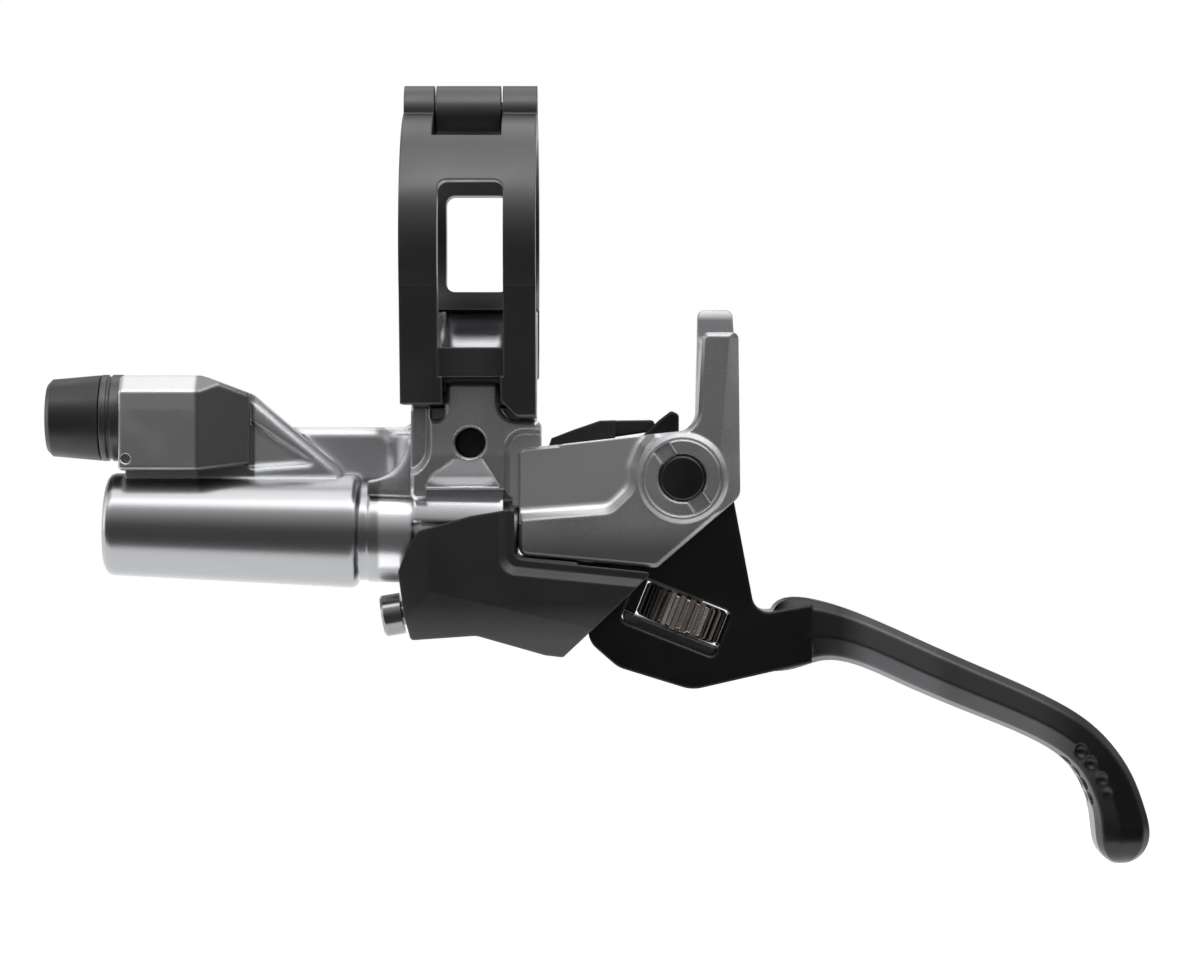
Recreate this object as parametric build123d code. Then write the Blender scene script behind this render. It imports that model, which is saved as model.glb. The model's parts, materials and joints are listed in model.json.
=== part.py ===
from build123d import *

import math
import os

# Hydraulic brake lever for a flat handlebar, with a hinged bar clamp. Millimetres.
# +X runs along the handlebar towards the end of the blade, +Y runs away from the near
# side, +Z is up. The origin is the centre of the clamp bore.

# Clearances
fit_gap = 0.05
slide_gap = 0.12
side_gap = 0.25
seam_gap = 0.2
clamp_gap = 0.5

# Handlebar clamp
bar_radius = 11.1
bar_reach = 60.0
clamp_width = 14.1
band_wall = 2.9
window_left = -3.1
window_right = 3.7
window_top = 5.95
near_window_bottom = -11.2
far_window_bottom = -4.5
hinge_radius = 2.9
hinge_pin_radius = 1.2
knuckle_left = -3.65
knuckle_right = 3.2
anchor_pin_radius = 0.9
clamp_bolt_radius = 2.0
clamp_bolt_head_radius = 3.5
clamp_bolt_head_height = 3.4
clamp_bolt_x = 0.1
clamp_bolt_z = -21.1
clamp_thread_length = 9.0
tab_wall = 3.1

# Central block of the body
block_near = -7.2
block_far = 7.0
block_left = -6.15
block_right = 7.4
block_bottom = -27.2
block_bevel = 0.45
shoulder_z = -18.75
pillar_top = -17.3
pillar_near = -5.4
pillar_right = -3.9
lug_left = -2.5
lug_right = 3.2
lug_top = -14.8
lug_back = -3.9
lug_fillet = 1.8
saddle_end = -2.4
saddle_top = -6.7
saddle_pocket = 1.2
valley_left = 3.6
valley_right = 5.5
valley_depth = 1.7
fan_top = -22.7
fan_bottom = -25.7

# Master cylinder, on an axis that drops slightly towards the blade
cylinder_tilt = 1.6
cylinder_x = -11.83
cylinder_z = -30.43
cylinder_length = 26.9
cylinder_end_radius = 5.43
cylinder_mouth_radius = 6.06
groove_width = 0.9
neck_radius = 5.35
bore_radius = 4.0
guide_length = 3.4
plug_length = 2.0
piston_length = 8.0
rod_radius = 1.1
eye_radius = 1.9
spring_wire = 0.45
spring_turns = 6

# Hose port
hose_axis_z = -18.4
hose_radius = 2.5
hose_gap = 0.1
boss_left = cylinder_x - cylinder_length + 1.73
boss_bend = boss_left + 8.6
boss_right = boss_left + 13.7
boss_half = 5.0
boss_top = -13.97
boss_bottom = -24.0
boss_round = 0.5
passage_x = -12.6
passage_z = -27.6
passage_radius = 0.8
web_half = 2.4
web_bevel = 0.6
hose_nut_radius = 4.6
hose_nut_length = 2.1
hose_thread_radius = 3.6
hose_thread_length = 7.5
hose_cover_length = 5.8
hose_cover_tip_radius = 4.1

# Reservoir, behind the cylinder
tank_near = 2.0
tank_bevel = 0.7
blend_radius = 3.5
tank_left = boss_left + 6.0
tank_right = -8.2
tank_top = -19.35
tank_bottom = -35.0
tank_floor = 6.4
tank_rim = 11.3
tank_wall = 1.5
lid_thickness = 1.7

# Side plates and the lever pivot
ear_outer = 7.3
ear_inner = 4.8
bay_left = 8.0
pivot_x = 22.3
pivot_z = -24.8
pivot_pin_radius = 2.35
pivot_boss_radius = 4.3
bush_flange_radius = 4.0
bush_flange = 0.7
bush_wall = 0.55
boss_rise = 0.4
boss_flank = 0.5
notch_width = 1.9
notch_depth = 0.35
notch_turn = -56.0
ear_bevel = 0.4
pocket_depth = 1.1
pocket_round = 1.0
brace_facet = 1.0
brace_left = 24.2
brace_right = 28.2
brace_near_top = -9.54
brace_far_top = -6.5
brace_far = 9.5
bar_clearance = 0.25

# Pull arm, inside the fork of the blade
arm_half = 2.6
rod_slot_half = 1.35
hub_radius = 4.4
roller_radius = 1.4
roller_pin_radius = 0.7
roller_slot_play = 0.3
pull_angle = 18.0

# Blade
blade_half = 4.45
finger_half = 5.1
blade_hub_radius = 4.6
belly_x = 23.4
belly_z = -47.1
belly_round = 4.0
dial_x = 22.4
dial_z = -39.1
dial_tilt = 21.5
dial_radius = 4.55
dial_thickness = 3.7
dial_teeth = 24
tooth_depth = 0.45
window_low = -3.1
window_high = 2.05
window_near_end = -5.9
window_far_end = 4.75
window_web_half = 3.2
bridge_top = 3.9
screw_radius = 1.25
screw_tip = 7.45
pad_gap = 0.35
pad_half = 1.5
bridge_gap = 0.42
heel_gap = 1.0
nose_wall = -6.9

# Mechanism cover and the free-stroke screw
cover_half = 8.0
cover_wall = 1.3
cover_low = -48.0
cover_high = -20.0
cover_screw_x = 0.4
lip_left = 3.9
lip_low = -34.0
shelf_right = 11.4
stroke_x = -8.2
stroke_z = -39.3
stroke_tilt = 9.45
stroke_head_radius = 2.2
stroke_head_length = 1.25
stroke_head_sink = 0.9
stroke_shank_radius = 1.3
heel_face = 13.2


def outline(corners, radius=0.0):
    """Closed flat face. A corner is (across, up) or (across, up, its own rounding)."""
    points = [(corner[0], corner[1]) for corner in corners]
    radii = [corner[2] if len(corner) == 3 else radius for corner in corners]
    return make_face(FilletPolyline(*points, radius=radii, close=True))


def side_plane(y):
    """Upright plane along the bar: across is X, up is Z, and it extrudes towards -Y."""
    return Plane(origin=(0, y, 0), x_dir=(1, 0, 0), z_dir=(0, -1, 0))


def end_plane(x):
    """Upright plane across the bar: across is Y, up is Z, and it extrudes towards +X."""
    return Plane(origin=(x, 0, 0), x_dir=(0, 1, 0), z_dir=(1, 0, 0))


def slab(face, near, far):
    """Side view shape between two depths."""
    return extrude(side_plane(far) * face, amount=far - near)


def rail(face, left, right):
    """End view shape between two stations along the bar."""
    return extrude(end_plane(left) * face, amount=right - left)


def plan(face, low, high):
    """Top view shape between two heights."""
    return extrude(Plane.XY.offset(low) * face, amount=high - low)


def sunk(rim, floor, face_y, depth):
    """Pocket tool for a near face: the rim lies on the face and the walls slant to the floor."""
    walls = loft([side_plane(face_y) * rim, side_plane(face_y + depth) * floor])
    return walls + slab(rim, face_y - 1.0, face_y)


def turned(place, profile):
    """Solid turned about the place's own Z. The profile is (along, radius) points."""
    points = [(radius, along) for along, radius in profile]
    face = make_face(Polyline(*points, close=True))
    return place * revolve(Plane.XZ * face, axis=Axis.Z)


def post(place, low, high, radius):
    """Round bar along the place's own Z."""
    return turned(place, [(low, 0), (low, radius), (high, radius), (high, 0)])


def ring(place, low, high, inner, outer):
    """Tube along the place's own Z."""
    return turned(place, [(low, inner), (low, outer), (high, outer), (high, inner)])


def across(x, z):
    """Place whose own Z runs along +Y, through a point of the side view."""
    return Plane(origin=(x, 0, z), x_dir=(1, 0, 0), z_dir=(0, 1, 0))


def along_x(y, z):
    """Place whose own Z runs along +X."""
    return Plane(origin=(0, y, z), x_dir=(0, 1, 0), z_dir=(1, 0, 0))


def tilted(x, z, degrees):
    """Place whose own Z runs along +X, turned down by some degrees in the side view."""
    turn = math.radians(degrees)
    return Plane(
        origin=(x, 0, z),
        x_dir=(0, 1, 0),
        z_dir=(math.cos(turn), 0, -math.sin(turn)),
    )


def hexagon(place, low, high, flats):
    """Socket or head with six flats, along the place's own Z."""
    face = RegularPolygon(flats / math.sqrt(3), 6)
    return place * extrude(Plane.XY.offset(low) * face, amount=high - low)


cylinder_axis = tilted(cylinder_x, cylinder_z, cylinder_tilt)
pivot_axis = across(pivot_x, pivot_z)
stroke_axis = tilted(stroke_x, stroke_z, -stroke_tilt)
hose_axis = along_x(0, hose_axis_z)
bar_axis = along_x(0, 0)
hinge_z = bar_radius + band_wall
hinge_axis = along_x(0, hinge_z)
ring_radius = bar_radius + band_wall
anchor_axis = along_x(block_near + anchor_pin_radius + 0.6, (shoulder_z + lug_top) / 2 + 0.2)
bolt_axis = across(clamp_bolt_x, clamp_bolt_z)
bleed_axis = across((tank_left + tank_right) / 2, tank_top - 4.0)

# The roller of the pull rod passes below the pivot half way through its travel, so that
# its travel stays in step with the turn of the arm
tilt = math.radians(cylinder_tilt)
cover_screw_axis = across(cover_screw_x, cylinder_z - (cover_screw_x - cylinder_x) * math.tan(tilt))
stroke_heel_z = stroke_z + (heel_face - stroke_x) * math.tan(math.radians(stroke_tilt))
drop_x = pivot_x - cylinder_x
drop_z = pivot_z - cylinder_z
roller_foot = drop_x * math.cos(tilt) - drop_z * math.sin(tilt)
roller_arm = drop_x * math.sin(tilt) + drop_z * math.cos(tilt)
half_pull = math.radians(pull_angle) / 2
roller_travel = 2 * roller_arm * math.tan(half_pull)
roller_along = roller_foot - roller_travel / 2
roller_x = cylinder_x + roller_along * math.cos(tilt)
roller_z = cylinder_z - roller_along * math.sin(tilt)
roller_axis = across(roller_x, roller_z)

# Stations along the cylinder, measured from its mouth
plug_face = plug_length - cylinder_length
piston_back = plug_face + 0.3
piston_front = piston_back + piston_length
guide_front = -1.6
guide_back = guide_front - guide_length

dial_turn = math.radians(dial_tilt)
dial_axis = Plane(
    origin=(dial_x, 0, dial_z),
    x_dir=(math.cos(dial_turn), 0, -math.sin(dial_turn)),
    z_dir=(math.sin(dial_turn), 0, math.cos(dial_turn)),
)


def dial_view(y):
    """Side view plane in line with the dial: across it runs right, up is its axis."""
    return Plane(
        origin=(dial_x, y, dial_z),
        x_dir=(math.cos(dial_turn), 0, -math.sin(dial_turn)),
        z_dir=(0, -1, 0),
    )


def dial_slab(face, near, far):
    """Side view shape in the dial's own directions, between two depths."""
    return extrude(dial_view(far) * face, amount=far - near)


def dial_point(across_dial, up_dial):
    """Point of the side view, given in the dial's own directions."""
    x = dial_x + across_dial * math.cos(dial_turn) + up_dial * math.sin(dial_turn)
    z = dial_z - across_dial * math.sin(dial_turn) + up_dial * math.cos(dial_turn)
    return (x, z)


# Bar clamp

def bar_bore():
    """Space of the handlebar."""
    return post(bar_axis, -bar_reach, bar_reach, bar_radius)


def knuckle_space():
    """Room that the front band leaves for the middle knuckle of the rear band."""
    face = Rectangle(
        2 * hinge_radius + 2 * seam_gap, 4 * hinge_radius, align=(Align.CENTER, Align.MIN)
    )
    low = ring_radius - hinge_radius - seam_gap
    block = rail(Pos(0, low) * face, knuckle_left - seam_gap, knuckle_right + seam_gap)
    front = rail(
        Pos(0, low) * Rectangle(2 * ring_radius, 4 * hinge_radius, align=(Align.MAX, Align.MIN)),
        knuckle_left - seam_gap,
        knuckle_right + seam_gap,
    )
    return block + front


def clamp_front_band():
    """Near half of the clamp: a windowed band that ends in two legs over the body's lug."""
    half = clamp_width / 2
    leg_bottom = shoulder_z + seam_gap
    ring_face = Circle(ring_radius) & (
        Pos(-seam_gap / 2, 0) * Rectangle(2 * ring_radius, 4 * ring_radius, align=(Align.MAX, Align.CENTER))
    )
    lower_face = outline([
        (-13.1, -4.5),
        (-9.9, leg_bottom, 0.6),
        (lug_back - clamp_gap, leg_bottom),
        (lug_back - clamp_gap, lug_top + clamp_gap),
        (saddle_end - clamp_gap, lug_top + clamp_gap),
        (saddle_end - clamp_gap, -8.0),
        (-8.0, -4.5),
    ])
    upper_ring = ring_face - Pos(0, -2 * ring_radius - 5.0) * Rectangle(
        4 * ring_radius, 4 * ring_radius
    )
    band = rail(upper_ring, -half, half) + rail(lower_face, -half, half)
    band += post(hinge_axis, -half, half, hinge_radius)
    band -= knuckle_space()
    band -= bar_bore()
    width = window_right - window_left
    window = outline([
        (window_left, near_window_bottom),
        (window_left, window_top, 1.0),
        (window_right, window_top, 1.0),
        (window_right, near_window_bottom),
    ])
    band -= slab(window, -2 * ring_radius, 0)
    recess_bottom = lug_top + clamp_gap
    recess = slab(
        Pos(window_left + width / 2, near_window_bottom) * Rectangle(
            width, 2 * (near_window_bottom - recess_bottom)
        ),
        -2 * ring_radius,
        -9.2,
    )
    band -= recess
    lug_room = slab(
        outline([
            (lug_left - seam_gap, leg_bottom - 1.0),
            (lug_left - seam_gap, lug_top + clamp_gap),
            (lug_right + seam_gap, lug_top + clamp_gap),
            (lug_right + seam_gap, leg_bottom + lug_fillet),
            (lug_right + seam_gap + lug_fillet, leg_bottom),
            (lug_right + seam_gap + lug_fillet, leg_bottom - 1.0),
        ]),
        -2 * ring_radius,
        0,
    )
    band -= lug_room
    left_leg_trim = slab(
        outline([
            (-half - 1, leg_bottom - 1),
            (-half - 1, pillar_top + seam_gap),
            (-6.4, pillar_top + seam_gap),
            (lug_left, pillar_top + seam_gap),
            (lug_left, leg_bottom - 1),
        ]),
        -2 * ring_radius,
        0,
    )
    band -= left_leg_trim
    band -= post(anchor_axis, -half - 1, half + 1, anchor_pin_radius)
    band -= post(hinge_axis, -half - 1, half + 1, hinge_pin_radius)
    return band


def clamp_rear_band():
    """Far half of the clamp: it wraps the bar and ends in a tab under the clamp bolt."""
    half = clamp_width / 2
    face = Circle(ring_radius) & (
        Pos(seam_gap / 2, 0) * Rectangle(2 * ring_radius, 4 * ring_radius, align=(Align.MIN, Align.CENTER))
    )
    face -= Pos(0, saddle_top - 2 * ring_radius + seam_gap) * Rectangle(
        4 * ring_radius, 4 * ring_radius
    )
    tab_near = block_far + clamp_gap
    leg_face = outline([
        (ring_radius * 0.925, saddle_top + 1.0),
        (12.4, -11.8, 3.0),
        (tab_near + tab_wall, -17.6, 3.0),
        (tab_near + tab_wall, clamp_bolt_z - 4.1),
        (tab_near, clamp_bolt_z - 4.1),
        (tab_near, -17.4, 2.0),
        (10.45, -11.8, 2.0),
        (11.25, saddle_top + 0.2),
        (11.25, saddle_top + 1.0),
    ])
    band = rail(face, -half, half)
    band += rail(leg_face, -half, half)
    outer_knuckles = (
        post(hinge_axis, -half - 1, knuckle_left, hinge_radius + seam_gap)
        + post(hinge_axis, knuckle_right, half + 1, hinge_radius + seam_gap)
    )
    band -= outer_knuckles
    band += post(hinge_axis, knuckle_left, knuckle_right, hinge_radius)
    band -= bar_bore()
    window = outline([
        (window_left, far_window_bottom, 1.0),
        (window_left, window_top, 1.0),
        (window_right, window_top, 1.0),
        (window_right, far_window_bottom, 1.0),
    ])
    band -= slab(window, 0, 2 * ring_radius)
    tab_face = outline([
        (clamp_bolt_x - half - 1, clamp_bolt_z - 6),
        (clamp_bolt_x - half - 1, -13.5),
        (-half, -13.5),
        (clamp_bolt_x - 4.4, -17.8, 2.0),
        (clamp_bolt_x - 4.4, clamp_bolt_z - 4.1, 2.4),
        (clamp_bolt_x, clamp_bolt_z - 4.1),
        (clamp_bolt_x, clamp_bolt_z - 6),
    ])
    trim = slab(tab_face, 0, 2 * ring_radius)
    band -= trim
    band -= mirror(trim.moved(Location((-clamp_bolt_x, 0, 0))), about=Plane.YZ).moved(
        Location((clamp_bolt_x, 0, 0))
    )
    band -= post(bolt_axis, 0, 2 * ring_radius, clamp_bolt_radius + slide_gap)
    band -= post(hinge_axis, -half - 1, half + 1, hinge_pin_radius)
    return band


def clamp_hinge_pin():
    """Plain pin of the clamp's hinge."""
    half = clamp_width / 2
    return post(hinge_axis, -half + 0.1, half - 0.1, hinge_pin_radius)


def clamp_anchor_pin():
    """Pin that ties the front band's legs to the lug."""
    half = clamp_width / 2
    return post(anchor_axis, -half + 1.2, half - 0.3, anchor_pin_radius)


def clamp_bolt():
    """Socket head bolt, from the far side through the tab into the block."""
    seat = block_far + clamp_gap + tab_wall
    tip = block_far - clamp_thread_length
    head = turned(bolt_axis, [
        (seat, 0),
        (seat, clamp_bolt_head_radius),
        (seat + clamp_bolt_head_height - 0.4, clamp_bolt_head_radius),
        (seat + clamp_bolt_head_height, clamp_bolt_head_radius - 0.4),
        (seat + clamp_bolt_head_height, 0),
    ])
    shank = turned(bolt_axis, [
        (tip, 0),
        (tip, clamp_bolt_radius - 0.5),
        (tip + 0.5, clamp_bolt_radius),
        (seat, clamp_bolt_radius),
        (seat, 0),
    ])
    socket = hexagon(bolt_axis, seat + 1.2, seat + clamp_bolt_head_height + 1, 3.0)
    return head + shank - socket


# Lever body

def ear_outline():
    """Side plate round the pivot, with the brace that rises to the bar."""
    return outline([
        (valley_right - 1.0, -21.75),
        (6.9, -21.55),
        (16.3, -20.5),
        (brace_left - 0.3, -19.7, 2.4),
        (brace_left + 0.2, brace_near_top, 0.7),
        (brace_right, brace_near_top, 0.7),
        (pivot_x + 6.1, pivot_z - 1.9, 1.4),
        (19.65, -34.2, 0.7),
        (valley_right - 0.3, -32.9, 1.0),
        (valley_right - 0.3, -27.8),
        (valley_right - 1.0, -27.8),
    ])


def ear_pocket():
    """Pocket of a side plate, with rounded walls that run round the pivot's boss."""
    far_side = pivot_x - pivot_boss_radius
    top = pivot_z + 6.0
    left = valley_right - 1.0
    open_left = 9.5
    open_low = pivot_z + 3.7
    rim = outline([
        (open_left, top),
        (open_left, open_low),
        (left, open_low - 0.2),
        (left, pivot_z - 4.5),
        (14.95, pivot_z - 3.7, 2.0),
        (far_side - 0.6, pivot_z - 1.3, 2.0),
        (far_side - 0.55, pivot_z + 1.0, 1.0),
        (far_side + 0.5, pivot_z + 3.2, 1.0),
        (far_side + 3.2, top),
    ])
    floor = outline([
        (open_left, top),
        (open_left, open_low),
        (left, open_low - 0.2),
        (left, pivot_z - 3.6),
        (14.6, pivot_z - 2.85, 1.6),
        (far_side - 1.4, pivot_z - 0.9, 1.6),
        (far_side - 1.35, pivot_z + 1.2, 1.0),
        (far_side - 0.4, pivot_z + 3.6, 1.0),
        (far_side + 1.6, top),
    ])
    tool = sunk(rim, floor, -ear_outer, pocket_depth)
    floor_edges = tool.faces().sort_by(Axis.Y)[-1].edges().filter_by(
        lambda edge: edge.center().X > left + 0.1 and edge.center().Z < open_low - 0.2
    )
    return fillet(floor_edges, pocket_round)


def brace_edge():
    """Wedge cut off the brace's outer edge, wider towards the pivot."""
    faces = []
    for z, crease in ((brace_near_top + 1.0, brace_right - 0.9), (pivot_z - 6.0, brace_right - 2.7)):
        slope = brace_facet / (brace_right + 0.1 - crease)
        outside = brace_right + 2.0
        corners = Polyline(
            (crease, -ear_outer),
            (crease, -ear_outer - 1.0),
            (outside, -ear_outer - 1.0),
            (outside, -ear_outer + slope * (outside - crease)),
            close=True,
        )
        faces.append(Plane.XY.offset(z) * make_face(corners))
    return loft(faces)


def valley():
    """Round-cornered valley between the block and the near side plate."""
    rim = outline([
        (9.5, -19.6),
        (valley_left, -19.6, 2.2),
        (valley_left, -29.6),
        (valley_right, -29.6),
        (valley_right, -21.75, 0.7),
        (9.5, -21.3),
    ])
    floor = outline([
        (9.5, -20.2),
        (valley_left + 0.6, -20.2, 1.6),
        (valley_left + 0.6, -29.6),
        (valley_right - 0.3, -29.6),
        (valley_right - 0.3, -21.9, 0.5),
        (9.5, -21.5),
    ])
    return sunk(rim, floor, -ear_outer, valley_depth)


def pillar_recess():
    """Step back from the block's near face to the pillar, flared towards the cylinder."""
    outside = block_left - 2.0
    top = pillar_top + 1.0
    rim = outline([
        (outside, top),
        (pillar_right, top),
        (pillar_right, -24.8, 3.3),
        (outside, -24.8),
    ])
    floor = outline([
        (outside, top),
        (pillar_right - 0.6, top),
        (pillar_right - 0.6, -24.1, 2.6),
        (outside, -24.1),
    ])
    return sunk(rim, floor, block_near, pillar_near - block_near)


def block_foot():
    """Slanted cuts below the bolt hole: a fan-shaped facet and a bevel under it."""
    fan = outline([
        (clamp_bolt_x - 1.05, fan_top + 0.3),
        (clamp_bolt_x + 1.05, fan_top + 0.3),
        (valley_left - 0.4, fan_bottom),
        (pillar_right - 0.6, fan_bottom),
        (pillar_right - 0.2, fan_bottom + 1.1, 1.0),
    ])
    fan_slope = outline([
        (block_near - 1.0, fan_top),
        (block_near, fan_top),
        (block_near + 1.4, fan_bottom),
        (block_near - 1.0, fan_bottom),
    ])
    foot = outline([
        (block_near - 1.0, fan_bottom - 0.3),
        (block_near + 0.2, fan_bottom - 0.3),
        (block_near + 2.2, block_bottom),
        (block_near - 1.0, block_bottom),
    ])
    cut = slab(fan, block_near - 1.0, block_near + 2.0) & rail(fan_slope, block_left, block_right)
    return cut + rail(foot, pillar_right - 0.6, valley_left + 1.0)


def block_solid():
    """Central block, with its lug, pillar and the saddle that the bar rests in."""
    face = outline([
        (block_left, block_bottom, 0.8),
        (block_left, pillar_top, 0.6),
        (pillar_right - 0.2, pillar_top),
        (pillar_right - 0.2, shoulder_z, 0.5),
        (lug_left, shoulder_z, 1.0),
        (lug_left, lug_top, 0.7),
        (lug_right, lug_top, 0.7),
        (lug_right, shoulder_z, lug_fillet),
        (block_right, shoulder_z, 0.5),
        (block_right, block_bottom),
    ])
    block = slab(face, block_near, block_far)
    block = chamfer(block.faces().sort_by(Axis.Y)[0].edges(), block_bevel)
    block -= pillar_recess()
    block -= block_foot()
    saddle_face = outline([
        (lug_back, shoulder_z - 1.0),
        (lug_back, lug_top),
        (saddle_end, lug_top),
        (saddle_end, -8.0),
        (6.0, saddle_top),
        (10.75, saddle_top, 0.4),
        (9.95, -12.0, 2.0),
        (block_far, -17.2),
        (block_far, shoulder_z - 1.0),
    ])
    block += rail(saddle_face, block_left, block_right - 0.5)
    block -= bar_bore()
    floor = bar_radius + saddle_pocket
    block -= turned(bar_axis, [
        (window_left, 0),
        (window_left, bar_radius),
        (window_left + 0.3, bar_radius + 0.6 * saddle_pocket),
        (window_left + 0.7, bar_radius + 0.9 * saddle_pocket),
        (window_left + 1.3, floor),
        (window_right - 1.3, floor),
        (window_right - 0.7, bar_radius + 0.9 * saddle_pocket),
        (window_right - 0.3, bar_radius + 0.6 * saddle_pocket),
        (window_right, bar_radius),
        (window_right, 0),
    ])
    return block


def cylinder_outside():
    """Outside of the master cylinder and its neck, with the groove between them."""
    end = -cylinder_length
    neck_end = 5.0 - cylinder_x
    step = block_left - cylinder_x
    return turned(cylinder_axis, [
        (end, 0),
        (end, cylinder_end_radius - 0.9),
        (end + 0.15, cylinder_end_radius - 0.5),
        (end + 0.45, cylinder_end_radius - 0.15),
        (end + 0.9, cylinder_end_radius),
        (-0.7, cylinder_mouth_radius),
        (-0.25, cylinder_mouth_radius - 0.15),
        (0, cylinder_mouth_radius - 0.5),
        (0.1, neck_radius - 0.15),
        (groove_width, neck_radius - 0.15),
        (groove_width + 0.3, neck_radius),
        (step, neck_radius),
        (step + 0.3, neck_radius - 0.3),
        (step + 0.8, neck_radius - 0.3),
        (step + 1.1, neck_radius),
        (neck_end, neck_radius),
        (neck_end, 0),
    ])


def hose_boss():
    """Faceted boss of the hose port, on a core that joins it to the cylinder."""
    side = outline([
        (boss_left, boss_top),
        (boss_bend, boss_top),
        (boss_right, boss_top - 1.9),
        (boss_right, boss_bottom + 0.65),
        (boss_bend, boss_bottom),
        (boss_left, boss_bottom),
    ])
    end = outline([
        (-3.3, boss_top),
        (3.3, boss_top),
        (boss_half, boss_top - 1.7),
        (boss_half, boss_bottom),
        (-boss_half, boss_bottom),
        (-boss_half, boss_top - 1.7),
    ])
    top = outline([
        (boss_left, -boss_half),
        (boss_bend, -boss_half),
        (boss_right, -3.0),
        (boss_right, 3.0),
        (boss_bend, boss_half),
        (boss_left, boss_half),
    ])
    solid = slab(side, -boss_half, boss_half)
    solid &= rail(end, boss_left, boss_right)
    solid &= plan(top, boss_bottom - 1.0, boss_top)
    solid = fillet(solid.edges(), boss_round)
    pin_hole = across(boss_left + 0.85, boss_bottom + 1.25)
    solid -= post(pin_hole, -boss_half - 1.0, -boss_half + 1.2, 0.5)
    core = Pos(0, boss_bottom + 0.5) * Rectangle(2 * web_half, 3.5, align=(Align.CENTER, Align.MAX))
    return solid + rail(core, boss_left + 0.5, boss_right)


def oil_web():
    """Diagonal web that carries the oil passage from the cylinder mouth to the hose port."""
    side = outline([
        (boss_right - 2.7, boss_top - 1.6),
        (boss_right, boss_top - 1.9),
        (-14.1, -23.6, 0.8),
        (-12.4, -26.5),
        (boss_right - 2.7, -26.5),
    ])
    web = chamfer(slab(side, -web_half, web_half).faces().sort_by(Axis.Y)[0].edges(), web_bevel)
    rim = outline([
        (boss_right - 0.6, boss_top - 4.2),
        (-16.0, -23.3),
        (boss_right - 0.6, -23.9),
    ], 0.3)
    floor = outline([
        (boss_right - 0.3, boss_top - 4.9),
        (-16.9, -23.2),
        (boss_right - 0.3, -23.6),
    ], 0.2)
    web -= sunk(rim, floor, -web_half, web_bevel)
    return web


def tank_face(inset, rounding):
    """Outline of the reservoir, drawn in by a wall."""
    return outline([
        (tank_left + inset, tank_bottom + inset),
        (tank_left + inset, tank_top - inset),
        (tank_right - inset, tank_top - inset),
        (tank_right - inset, tank_bottom + inset),
    ], rounding)


def tank_screw_places():
    """Four corner screws of the reservoir lid."""
    inset = 1.9
    places = []
    for x in (tank_left + inset, tank_right - inset):
        for z in (tank_bottom + inset, tank_top - inset):
            places.append(across(x, z))
    return places


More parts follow.
